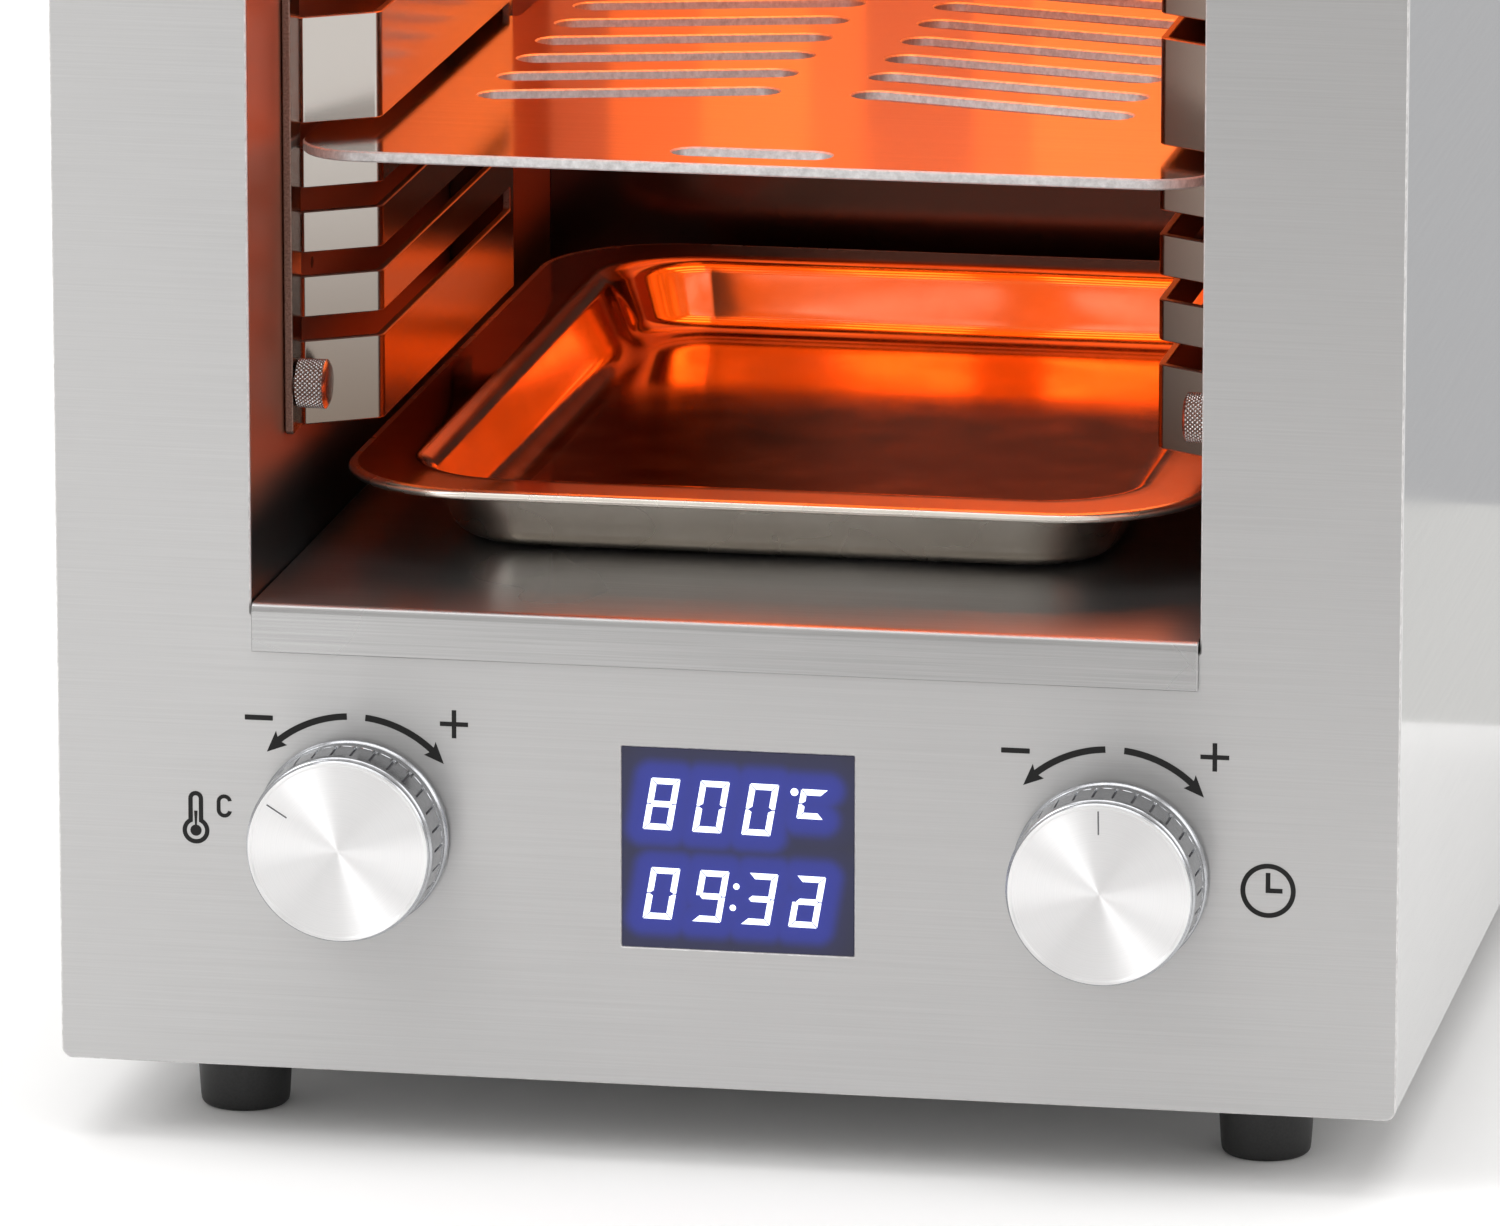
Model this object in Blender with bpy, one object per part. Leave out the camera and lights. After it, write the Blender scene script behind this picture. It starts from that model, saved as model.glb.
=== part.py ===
"""Table-top infrared steak grill: open-front steel housing, rack rails, grill rack, drip tray,
two rotary knobs, a digital readout, and the heater, electronics and fan inside it.

Sizes below are in millimetres and are turned into metres where a mesh is made.
X runs across the front, the front faces -Y, +Z is up, and Z = 0 is the surface the feet stand on.
"""

import math

import bmesh
import bpy
from mathutils import Matrix, Vector

MM = 0.001
GAP = 0.3                      # clearance left between neighbouring pieces

# Housing
WIDTH = 245.0
HEIGHT = 365.0
FOOT_HEIGHT = 15.0
FRONT = -186.0                 # front face of the front panel
REAR = 186.0                   # rear edge of the outer cover
SHEET = 1.0
PANEL = 1.2
CORNER_RADIUS = 2.0
COVER_FLANGE = 14.0
VENT_LENGTH = 26.0
VENT_WIDTH = 4.0
TOP_VENT_PITCH = 14.0
TOP_VENT_Y = 132.0
BACK_VENT_PITCH = 16.0
SPACER_X = 88.0
SPACER_LOW = 215.0
SPACER_DEPTH = 14.0
INLET = (-93.9, -66.1, 43.1, 62.9)   # X and Z limits of the socket body

# Cooking cavity
OPENING_HALF = 86.5
FLOOR = FOOT_HEIGHT + 86.8     # top face of the cavity floor
OPENING_TOP = FOOT_HEIGHT + 290.0
ROOF = FOOT_HEIGHT + 292.0
CAVITY_DEPTH = 277.0
SILL_DROP = 9.0
FLOOR_SHEET = 0.8
FLOOR_BEND = 1.6
PROBE_X = 40.0
PROBE_DROP = 30.0              # below the roof

# Rack rails
RAIL_SHEET = 1.5
RAIL_LIP_FRONT = 28.5          # depths are measured back from the front face
RAIL_FLANGE = 46.0
RAIL_SLANT = 8.6               # the flanges lean back this far towards the rack
RAIL_REAR = 168.0
RAIL_LIP_REAR = 190.0
RAIL_INNER = 71.6
RAIL_BOTTOM = FOOT_HEIGHT + 111.4
RAIL_TOP = FOOT_HEIGHT + 280.0
SLOT_HEIGHT = 4.4
SLOT_PITCH = 12.0
SLOT_FIRST = FOOT_HEIGHT + 127.0
SLOT_STEPS = (0, 1, 2, 3, 5, 6, 7, 8, 10, 11)
SLOT_REAR = 163.5
RACK_STEP = 3                  # the slot that the rack lies in
THUMB_DEPTH = 32.4
THUMB_HEIGHTS = (FOOT_HEIGHT + 120.4, FOOT_HEIGHT + 274.5)
THUMB_HOLE = 2.3

# Grill rack
RACK_HALF = 84.0
RACK_THICK = 2.0
RACK_FRONT = 25.0
RACK_SHOULDER = 162.0
RACK_REAR = 238.0
RACK_NECK_HALF = 69.5
RACK_CORNER = 12.0
CHEVRON_ROWS = 8
CHEVRON_PITCH = 18.3
CHEVRON_FIRST = 89.2
CHEVRON_TILT = math.radians(14.5)
CHEVRON_LENGTH = 56.0
CHEVRON_WIDTH = 9.0
CHEVRON_CENTRE = 34.0
LIFT_SLOT = (11.0, 29.5, 8.4)    # behind the front edge, length, width

# Drip tray
TRAY_HALF = 80.0
TRAY_FRONT = 30.0
TRAY_REAR = 260.0
TRAY_HEIGHT = 14.8
TRAY_SHEET = 0.8
TRAY_CORNER = 27.0
TRAY_RIM = 12.0

# Controls
KNOB_CENTRES = {"temperature": (-67.8, FOOT_HEIGHT + 44.6), "timer": (70.7, FOOT_HEIGHT + 43.0)}
KNOB_RADIUS = 17.8
KNOB_DEPTH = 14.0
KNOB_RIBS = 30
SHAFT_RADIUS = 3.0
DISPLAY = (-18.4, 24.0, FOOT_HEIGHT + 25.9, FOOT_HEIGHT + 62.9)

# Feet
FOOT_X = 95.0
FOOT_Y = 156.0
FOOT_TOP_RADIUS = 9.2
FOOT_BOTTOM_RADIUS = 8.2

# Fan
FAN_HALF = 30.0
FAN_Z = FOOT_HEIGHT + 42.0
FAN_REAR = REAR - 2.0 * SHEET
FAN_DEPTH = 15.0
FAN_BLADES = 7

STEEL = ("brushed_steel", (0.62, 0.62, 0.61), 1.0, 0.34)
BRIGHT_STEEL = ("bright_steel", (0.66, 0.65, 0.63), 1.0, 0.18)
CAVITY_STEEL = ("cavity_steel", (0.46, 0.44, 0.42), 1.0, 0.28)
ALUMINIUM = ("spun_aluminium", (0.82, 0.83, 0.85), 1.0, 0.22)
RUBBER = ("black_rubber", (0.025, 0.025, 0.027), 0.0, 0.7)
BLACK_PLASTIC = ("black_plastic", (0.03, 0.03, 0.035), 0.0, 0.45)
DARK_GLASS = ("dark_glass", (0.04, 0.04, 0.06), 0.0, 0.12)
CERAMIC = ("white_ceramic", (0.78, 0.74, 0.68), 0.0, 0.8)
HEATING_WIRE = ("heating_wire", (0.85, 0.25, 0.06), 0.6, 0.5)
WOOL = ("mineral_wool", (0.72, 0.70, 0.62), 0.0, 0.95)
BOARD = ("circuit_board", (0.05, 0.22, 0.10), 0.0, 0.5)


# ---------------------------------------------------------------- materials and meshes

def finish_material(finish):
    """Return the Principled material of a finish, made on its first use."""
    name, colour, metallic, roughness = finish
    found = bpy.data.materials.get(name)
    if found:
        return found
    made = bpy.data.materials.new(name)
    made.use_nodes = True
    shader = made.node_tree.nodes["Principled BSDF"]
    shader.inputs["Base Color"].default_value = (*colour, 1.0)
    shader.inputs["Metallic"].default_value = metallic
    shader.inputs["Roughness"].default_value = roughness
    made.diffuse_color = (*colour, 1.0)
    return made


def add_object(name, bm, finish, origin=(0, 0, 0), smooth=False):
    """Turn a millimetre bmesh into an object in metres whose origin is at `origin`."""
    centre = Vector(origin)
    bmesh.ops.translate(bm, vec=-centre, verts=bm.verts)
    bmesh.ops.scale(bm, vec=(MM, MM, MM), verts=bm.verts)
    mesh = bpy.data.meshes.new(name)
    bm.to_mesh(mesh)
    bm.free()
    if smooth:
        mesh.shade_smooth()
        mesh.set_sharp_from_angle(angle=math.radians(35))
    obj = bpy.data.objects.new(name, mesh)
    obj.location = centre * MM
    bpy.context.scene.collection.objects.link(obj)
    if finish:
        mesh.materials.append(finish_material(finish))
    return obj


def cut(target, cutter, operation="DIFFERENCE"):
    """Apply one object to another with an exact Boolean and hide the cutter."""
    cutter.hide_render = True
    cutter.display_type = "WIRE"
    step = target.modifiers.new(cutter.name, "BOOLEAN")
    step.solver = "EXACT"
    step.operation = operation
    step.object = cutter


# ---------------------------------------------------------------- outlines

def arc(cx, cy, radius, start, end, steps):
    """Points on an arc; angles in degrees."""
    angles = [math.radians(start + (end - start) * i / steps) for i in range(steps + 1)]
    return [(cx + radius * math.cos(a), cy + radius * math.sin(a)) for a in angles]


def circle(cx, cy, radius, steps):
    return arc(cx, cy, radius, 0, 360, steps)[:-1]


def rectangle(x0, y0, x1, y1):
    return [(x0, y0), (x1, y0), (x1, y1), (x0, y1)]


def rounded(x0, y0, x1, y1, radius, steps=4):
    """A rectangle with equal round corners."""
    return (arc(x1 - radius, y1 - radius, radius, 0, 90, steps)
            + arc(x0 + radius, y1 - radius, radius, 90, 180, steps)
            + arc(x0 + radius, y0 + radius, radius, 180, 270, steps)
            + arc(x1 - radius, y0 + radius, radius, 270, 360, steps))


def slot(cx, cy, length, width, tilt=0.0, steps=3):
    """A straight slot with round ends, turned by `tilt` radians."""
    half = (length - width) / 2
    loop = arc(half, 0, width / 2, -90, 90, steps) + arc(-half, 0, width / 2, 90, 270, steps)
    c, s = math.cos(tilt), math.sin(tilt)
    return [(cx + x * c - y * s, cy + x * s + y * c) for x, y in loop]


def bent_strip(path, thickness, radius=0.0, steps=3):
    """The closed outline of a folded sheet whose middle line is `path`."""
    line = [Vector(path[0])]
    for before, here, after in zip(path, path[1:], path[2:]):
        here = Vector(here)
        back = (Vector(before) - here).normalized()
        ahead = (Vector(after) - here).normalized()
        for i in range(steps + 1):
            t = i / steps
            line.append(here + back * radius * (1 - t) ** 2 + ahead * radius * t ** 2)
    line.append(Vector(path[-1]))
    sides = ([], [])
    for i, point in enumerate(line):
        start = max(i - 1, 0)
        ways = [(b - a).normalized() for a, b in zip(line[start:], line[start + 1:i + 2])]
        normals = [Vector((-way.y, way.x)) for way in ways]
        mitre = sum(normals, Vector((0, 0))).normalized()
        reach = thickness / 2 / mitre.dot(normals[0])
        sides[0].append(point + mitre * reach)
        sides[1].append(point - mitre * reach)
    return [tuple(p) for p in sides[0] + sides[1][::-1]]


PLACES = {
    "X": lambda a, b, depth: (depth, a, b),
    "Y": lambda a, b, depth: (a, depth, b),
    "Z": lambda a, b, depth: (a, b, depth),
}


def extruded(outline, axis, low, high, holes=()):
    """A bmesh prism along `axis` with the outline and holes given in the other two axes."""
    bm = bmesh.new()
    place = PLACES[axis]
    edges = []
    for loop in (outline, *holes):
        verts = [bm.verts.new(place(a, b, low)) for a, b in loop]
        edges += [bm.edges.new((v, w)) for v, w in zip(verts, verts[1:] + verts[:1])]
    bmesh.ops.triangle_fill(bm, use_beauty=True, use_dissolve=False, edges=edges)
    swept = bmesh.ops.extrude_face_region(bm, geom=bm.faces[:])
    moved = [v for v in swept["geom"] if isinstance(v, bmesh.types.BMVert)]
    bmesh.ops.translate(bm, vec=place(0, 0, high - low), verts=moved)
    bmesh.ops.recalc_face_normals(bm, faces=bm.faces)
    return bm


def bridged(rings, closed_ends=True):
    """A bmesh from rings of equal vertex count; the first and last rings are capped."""
    bm = bmesh.new()
    rows = [[bm.verts.new(p) for p in ring] for ring in rings]
    for row, nxt in zip(rows, rows[1:]):
        for i in range(len(row)):
            j = (i + 1) % len(row)
            bm.faces.new((row[i], row[j], nxt[j], nxt[i]))
    if closed_ends:
        bm.faces.new(rows[0][::-1])
        bm.faces.new(rows[-1])
    else:
        for i in range(len(rows[0])):
            j = (i + 1) % len(rows[0])
            bm.faces.new((rows[-1][i], rows[-1][j], rows[0][j], rows[0][i]))
    bmesh.ops.recalc_face_normals(bm, faces=bm.faces)
    return bm


def turned(profile, centre, axis, steps, ripple=None, closed_ends=True):
    """A turned solid: (radius, distance along axis) pairs round `axis` through `centre`."""
    place = PLACES[axis]
    rings = []
    for index, (radius, along) in enumerate(profile):
        ring = []
        for i in range(steps):
            r = radius - (ripple[index] if ripple and i % 2 else 0.0)
            angle = 2 * math.pi * (i + 0.5) / steps
            offset = place(r * math.cos(angle), r * math.sin(angle), along)
            ring.append(tuple(c + o for c, o in zip(centre, offset)))
        rings.append(ring)
    return bridged(rings, closed_ends)


def block(low, high):
    return extruded(rectangle(low[0], low[1], high[0], high[1]), "Z", low[2], high[2])


def joined(meshes):
    """Several separate bmeshes as one, used for groups of cutters."""
    whole = bmesh.new()
    for bm in meshes:
        part = bpy.data.meshes.new("part")
        bm.to_mesh(part)
        bm.free()
        whole.from_mesh(part)
        bpy.data.meshes.remove(part)
    return whole


# ---------------------------------------------------------------- housing

def front_panel():
    """Flat front frame with the cavity opening, the readout window and two shaft holes."""
    x0, x1, z0, z1 = DISPLAY
    outline = rounded(-WIDTH / 2, FOOT_HEIGHT, WIDTH / 2, HEIGHT, CORNER_RADIUS)
    holes = [
        rectangle(-OPENING_HALF, FLOOR - FLOOR_SHEET - FLOOR_BEND, OPENING_HALF, OPENING_TOP),
        rectangle(x0 - GAP, z0 - GAP, x1 + GAP, z1 + GAP),
    ] + [circle(x, z, 4.0, 16) for x, z in KNOB_CENTRES.values()]
    add_object("front_panel", extruded(outline, "Y", FRONT, FRONT + PANEL, holes), STEEL)


def vent_slots(count, pitch, y):
    """A row of upright vent slots centred on X = 0."""
    return [slot((i - (count - 1) / 2) * pitch, y, VENT_LENGTH, VENT_WIDTH, math.pi / 2, 2)
            for i in range(count)]


def outer_cover():
    """Sides and top folded from one sheet, with short return flanges under the base."""
    side, top, low = WIDTH / 2 - SHEET / 2, HEIGHT - SHEET / 2, FOOT_HEIGHT + SHEET / 2
    flange = side - COVER_FLANGE
    path = [(-flange, low), (-side, low), (-side, top), (side, top), (side, low), (flange, low)]
    band = bent_strip(path, SHEET, CORNER_RADIUS)
    cover = add_object("outer_cover", extruded(band, "Y", FRONT + PANEL + GAP, REAR), STEEL)
    slots = vent_slots(11, TOP_VENT_PITCH, TOP_VENT_Y)
    cutters = joined(extruded(loop, "Z", HEIGHT - 3, HEIGHT + 3) for loop in slots)
    cut(cover, add_object("cover_vents", cutters, None))


def base_plate():
    """Bottom tray of the electronics bay, with intake slots and foot screw holes."""
    half = WIDTH / 2 - SHEET - GAP - CORNER_RADIUS
    z0 = FOOT_HEIGHT + SHEET + GAP
    front, rear = FRONT + PANEL + 2 * GAP, REAR - SHEET - 2 * GAP
    holes = [slot((i - 4) * TOP_VENT_PITCH, 0.0, 60.0, VENT_WIDTH, math.pi / 2, 2) for i in range(9)]
    holes += [circle(sx * FOOT_X, sy * FOOT_Y, 2.6, 10) for sx in (-1, 1) for sy in (-1, 1)]
    plate = extruded(rectangle(-half, front, half, rear), "Z", z0, z0 + SHEET, holes)
    add_object("base_plate", plate, STEEL)


def back_panel():
    """Rear closing sheet with the fan opening, exhaust slots and the inlet cut-out."""
    half = WIDTH / 2 - SHEET - GAP - 0.6
    low, high = FOOT_HEIGHT + SHEET + GAP, HEIGHT - SHEET - GAP
    x0, x1, z0, z1 = INLET
    holes = [circle(0, FAN_Z, FAN_HALF - 3.0, 32), rectangle(x0 - 0.4, z0 - 0.4, x1 + 0.4, z1 + 0.4)]
    for row in range(2):
        holes += vent_slots(11, BACK_VENT_PITCH, HEIGHT - 40.0 - row * 34.0)
    outline = rounded(-half, low, half, high, CORNER_RADIUS)
    add_object("back_panel", extruded(outline, "Y", REAR - SHEET - GAP, REAR - GAP, holes), STEEL)


def rear_spacers():
    """Two bent brackets that keep the hot back away from a wall."""
    for side, name in ((-1, "rear_spacer_left"), (1, "rear_spacer_right")):
        x = side * SPACER_X
        y0, y1 = REAR + SHEET / 2, REAR + SPACER_DEPTH - SHEET / 2
        path = [(x - 24.0, y0), (x - 14.0, y0), (x - 14.0, y1), (x + 14.0, y1), (x + 14.0, y0),
                (x + 24.0, y0)]
        bracket = extruded(bent_strip(path, SHEET, 2.0), "Z", SPACER_LOW, SPACER_LOW + 18.0)
        add_object(name, bracket, BRIGHT_STEEL)


def feet():
    """Four tapered rubber feet, each hollow below for its own screw."""
    profile = [(2.6, 9.5), (5.0, 9.5), (5.0, 0.0), (FOOT_BOTTOM_RADIUS - 1.2, 0.0),
               (FOOT_BOTTOM_RADIUS, 1.0), (FOOT_TOP_RADIUS, FOOT_HEIGHT - GAP),
               (2.6, FOOT_HEIGHT - GAP)]
    screw = [(0.4, 6.4), (3.6, 6.4), (4.2, 8.2), (4.2, 9.2), (2.0, 9.2), (2.0, FOOT_HEIGHT + 8.0),
             (0.4, FOOT_HEIGHT + 8.0)]
    corners = (("front_left", -1, -1), ("front_right", 1, -1), ("rear_left", -1, 1),
               ("rear_right", 1, 1))
    for name, sx, sy in corners:
        centre = (sx * FOOT_X, sy * FOOT_Y, 0.0)
        foot = turned(profile, centre, "Z", 20, closed_ends=False)
        add_object("foot_" + name, foot, RUBBER, centre, smooth=True)
        bolt = turned(screw, centre, "Z", 12)
        add_object("foot_screw_" + name, bolt, BRIGHT_STEEL, centre, smooth=True)


# ---------------------------------------------------------------- cooking cavity

def cavity_walls():
    """Side and back sheets of the cavity; the side sheets carry the rail screws."""
    low, high = FLOOR - 14.0, ROOF + 22.0
    y0, y1 = FRONT + PANEL + GAP, FRONT + CAVITY_DEPTH
    screws = [circle(FRONT + THUMB_DEPTH, z, THUMB_HOLE, 12) for z in THUMB_HEIGHTS]
    dowel = [circle(FRONT + 54.0, FOOT_HEIGHT + 138.4, 1.2, 8)]
    for side, name in ((-1, "cavity_left_wall"), (1, "cavity_right_wall")):
        inner = side * OPENING_HALF
        outer = side * (OPENING_HALF + SHEET)
        sheet = rectangle(y0, low, y1, high)
        wall = extruded(sheet, "X", min(inner, outer), max(inner, outer), screws + dowel)
        add_object(name, wall, CAVITY_STEEL)
    half = OPENING_HALF + 8.0
    probe = [circle(PROBE_X, ROOF - PROBE_DROP, 2.4, 12)]
    back = extruded(rectangle(-half, low, half, high), "Y", y1 + GAP, y1 + GAP + SHEET, probe)
    add_object("cavity_back_wall", back, CAVITY_STEEL)


def cavity_floor():
    """Floor sheet that folds down over the bottom edge of the front opening."""
    mid = FLOOR - FLOOR_SHEET / 2
    lip = FRONT - GAP - FLOOR_SHEET / 2
    path = [(lip, FLOOR - SILL_DROP), (lip, mid), (FRONT + CAVITY_DEPTH - GAP, mid)]
    strip = bent_strip(path, FLOOR_SHEET, FLOOR_BEND)
    half = OPENING_HALF - GAP
    add_object("cavity_floor", extruded(strip, "X", -half, half), CAVITY_STEEL)


def cavity_roof():
    """Roof sheet with the window that the heater looks through."""
    half = OPENING_HALF - GAP
    y0, y1 = FRONT + PANEL + GAP, FRONT + CAVITY_DEPTH - GAP
    window = [rectangle(-66.0, FRONT + 40.0, 66.0, FRONT + 230.0)]
    roof = extruded(rectangle(-half, y0, half, y1), "Z", ROOF, ROOF + SHEET, window)
    add_object("cavity_roof", roof, CAVITY_STEEL)


def rack_rails():
    """Slotted top-hat brackets screwed to the cavity sides; they carry the rack."""
    wall = OPENING_HALF - GAP - RAIL_SHEET / 2
    face = RAIL_INNER + RAIL_SHEET / 2
    front, rear = FRONT + RAIL_FLANGE + RAIL_SHEET / 2, FRONT + RAIL_REAR - RAIL_SHEET / 2
    for side, name in ((-1, "left"), (1, "right")):
        path = [(side * wall, FRONT + RAIL_LIP_FRONT), (side * wall, front - RAIL_SLANT),
                (side * face, front), (side * face, rear), (side * wall, rear + RAIL_SLANT),
                (side * wall, FRONT + RAIL_LIP_REAR)]
        hat = extruded(bent_strip(path, RAIL_SHEET, 1.4, 2), "Z", RAIL_BOTTOM, RAIL_TOP)
        rail = add_object("rack_rail_" + name, hat, BRIGHT_STEEL)
        xs = sorted((side * (RACK_HALF + 2 * GAP), side * (RAIL_INNER - 3.0)))
        cutters = []
        for step in SLOT_STEPS:
            z = SLOT_FIRST + step * SLOT_PITCH
            near, far = FRONT + RAIL_FLANGE - RAIL_SLANT - 2.5, FRONT + SLOT_REAR
            cutters.append(block((xs[0], near, z), (xs[1], far, z + SLOT_HEIGHT)))
        for z in THUMB_HEIGHTS:
            hole = circle(FRONT + THUMB_DEPTH, z, THUMB_HOLE, 12)
            ends = sorted((side * (wall - 3.0), side * (wall + 3.0)))
            cutters.append(extruded(hole, "X", ends[0], ends[1]))
        cut(rail, add_object("rail_slots_" + name, joined(cutters), None))


def thumbscrews():
    """Knurled screws that clamp the rails; each turns about its own axis."""
    lip = OPENING_HALF - GAP - RAIL_SHEET
    for side, side_name in ((-1, "left"), (1, "right")):
        for z, level in zip(THUMB_HEIGHTS, ("lower", "upper")):
            centre = (side * lip, FRONT + THUMB_DEPTH, z)
            inward = [(0.5, 6.3), (3.9, 6.3), (4.6, 5.6), (4.6, GAP), (1.7, GAP), (1.7, -7.5),
                      (0.5, -7.5)]
            profile = [(r, -side * w) for r, w in inward]
            ripple = [0, 0, 0.35, 0.35, 0, 0, 0]
            screw = turned(profile, centre, "X", 20, ripple)
            name = "thumbscrew_" + side_name + "_" + level
            add_object(name, screw, BRIGHT_STEEL, centre, smooth=True)


def grill_rack():
    """Slotted plate with broad shoulders that lie in the rail slots."""
    z = SLOT_FIRST + RACK_STEP * SLOT_PITCH + 0.2
    y0, y1, y2 = FRONT + RACK_FRONT, FRONT + RACK_SHOULDER, FRONT + RACK_REAR
    r, half, neck = RACK_CORNER, RACK_HALF, RACK_NECK_HALF
    outline = (arc(half - r, y0 + r, r, 270, 360, 5) + arc(half - 4, y1 - 4, 4, 0, 90, 3)
               + [(neck, y1)] + arc(neck - r, y2 - r, r, 0, 90, 5)
               + arc(r - neck, y2 - r, r, 90, 180, 5) + [(-neck, y1)]
               + arc(4 - half, y1 - 4, 4, 90, 180, 3) + arc(r - half, y0 + r, r, 180, 270, 5))
    inset, length, width = LIFT_SLOT
    holes = [slot(-1.2, y0 + inset, length, width)]
    for row in range(CHEVRON_ROWS):
        y = FRONT + CHEVRON_FIRST + row * CHEVRON_PITCH
        for side in (-1, 1):
            tilt = -side * CHEVRON_TILT
            holes.append(slot(side * CHEVRON_CENTRE, y, CHEVRON_LENGTH, CHEVRON_WIDTH, tilt))
    plate = extruded(outline, "Z", z, z + RACK_THICK, holes)
    add_object("grill_rack", plate, BRIGHT_STEEL)


def tray_ring(inset, z, corner):
    """One level of the tray: a rounded rectangle set in from the rim's outline."""
    side, front, rear = TRAY_HALF - inset, FRONT + TRAY_FRONT + inset, FRONT + TRAY_REAR - inset
    return [(x, y, z) for x, y in rounded(-side, front, side, rear, corner, 6)]


def drip_tray():
    """Drawn sheet pan with a broad flat rim and a turned-down edge."""
    z0, z1, t = FLOOR + GAP, FLOOR + GAP + TRAY_HEIGHT, TRAY_SHEET
    rim = TRAY_RIM
    outer = [(rim + 10.0, z0, 18), (rim + 7.5, z0 + 1.0, 20), (rim + 5.8, z0 + 3.4, 21),
             (rim + 2.6, z1 - 4.0, 24), (rim, z1 - 1.4 - t, 25), (1.2, z1 - t, 26),
             (0.8, z1 - 2.6, 26.5), (0.0, z1 - 2.6, TRAY_CORNER), (0.0, z1 - 0.6, TRAY_CORNER),
             (0.6, z1, 26.5)]
    inner = [(rim - 0.3, z1, 25), (rim + 3.4, z1 - 3.4, 24), (rim + 6.6, z0 + 3.8, 20.5),
             (rim + 8.0, z0 + t + 1.0, 19.2), (rim + 10.3, z0 + t, 17.5)]
    pan = bridged([tray_ring(*level) for level in outer + inner])
    add_object("drip_tray", pan, BRIGHT_STEEL, smooth=True)


# ---------------------------------------------------------------- heater

def heater():
    """Infrared heater above the roof window: housing, ceramic slab, wire, guard and terminals."""
    y0, y1 = FRONT + 34.0, FRONT + 236.0
    z0 = ROOF + SHEET + GAP
    case = [(-80.0, z0 + 0.5), (-72.0, z0 + 0.5), (-72.0, z0 + 26.0), (72.0, z0 + 26.0),
            (72.0, z0 + 0.5), (80.0, z0 + 0.5)]
    add_object("heater_reflector", extruded(bent_strip(case, SHEET, 2.0), "Y", y0, y1), BRIGHT_STEEL)

    brick = block((-64.0, y0 + 8.0, z0 + 12.0), (64.0, y1 - 8.0, z0 + 22.0))
    slab = add_object("ceramic_plate", brick, CERAMIC)
    runs = 7
    pitch = 17.0
    reach = (runs - 1) / 2 * pitch
    lanes = [i * pitch - reach for i in range(runs)]
    grooves = [block((x - 4.2, y0 + 14.0, z0 + 11.0), (x + 4.2, y1 - 14.0, z0 + 16.0)) for x in lanes]
    cut(slab, add_object("ceramic_grooves", joined(grooves), None))

    path = []
    for i, x in enumerate(lanes):
        ends = (y0 + 24.0, y1 - 24.0) if i % 2 == 0 else (y1 - 24.0, y0 + 24.0)
        path += [(x, ends[0]), (x, ends[1])]
    ribbon = extruded(bent_strip(path, 3.0, 4.0, 3), "Z", z0 + 8.6, z0 + 11.2)
    add_object("heating_wire", ribbon, HEATING_WIRE)

    windows = [rectangle(x - 6.25, FRONT + 45.0, x + 6.25, FRONT + 225.0)
               for x in (15.5 * i - 54.25 for i in range(8))]
    plate = rectangle(-64.0, FRONT + 42.0, 64.0, FRONT + 228.0)
    guard = extruded(plate, "Z", ROOF - 1.0, ROOF + 1.0, windows)
    add_object("heater_guard", guard, BRIGHT_STEEL)

    low = (-22.0, y1 + 6.0, z0 + 4.0)
    terminal = add_object("terminal_block", block(low, (22.0, y1 + 20.0, z0 + 18.0)), CERAMIC)
    well = [(2.6, z0 + 10.0), (2.6, z0 + 19.0)]
    wells = [turned(well, (x, y1 + 13.0, 0.0), "Z", 12) for x in (-13.0, 0.0, 13.0)]
    cut(terminal, add_object("terminal_wells", joined(wells), None))


def heat_protection():
    """Mineral wool over the reflector and a steel shield under the cavity floor."""
    y0, y1 = FRONT + 34.0, FRONT + 236.0
    top = ROOF + SHEET + GAP + 27.5
    add_object("insulation_blanket", block((-84.0, y0, top), (84.0, y1, top + 14.0)), WOOL)
    z = FLOOR - FLOOR_SHEET - 12.0
    path = [(-80.0, z + 9.0), (-80.0, z), (80.0, z), (80.0, z + 9.0)]
    shield = extruded(bent_strip(path, SHEET, 2.0), "Y", FRONT + 30.0, FRONT + 270.0)
    add_object("heat_shield", shield, CAVITY_STEEL)


def temperature_probe():
    """Sheathed probe through the back wall, with its fixing collar outside the cavity."""
    y = FRONT + CAVITY_DEPTH
    profile = [(0.4, -24.0), (1.2, -23.0), (1.6, -21.5), (1.6, 3.4), (4.0, 3.4), (4.0, 9.0), (2.4, 9.0),
               (2.4, 20.0), (0.4, 20.0)]
    centre = (PROBE_X, y, ROOF - PROBE_DROP)
    add_object("temperature_probe", turned(profile, centre, "Y", 16), BRIGHT_STEEL, smooth=True)


# ---------------------------------------------------------------- controls

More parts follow.
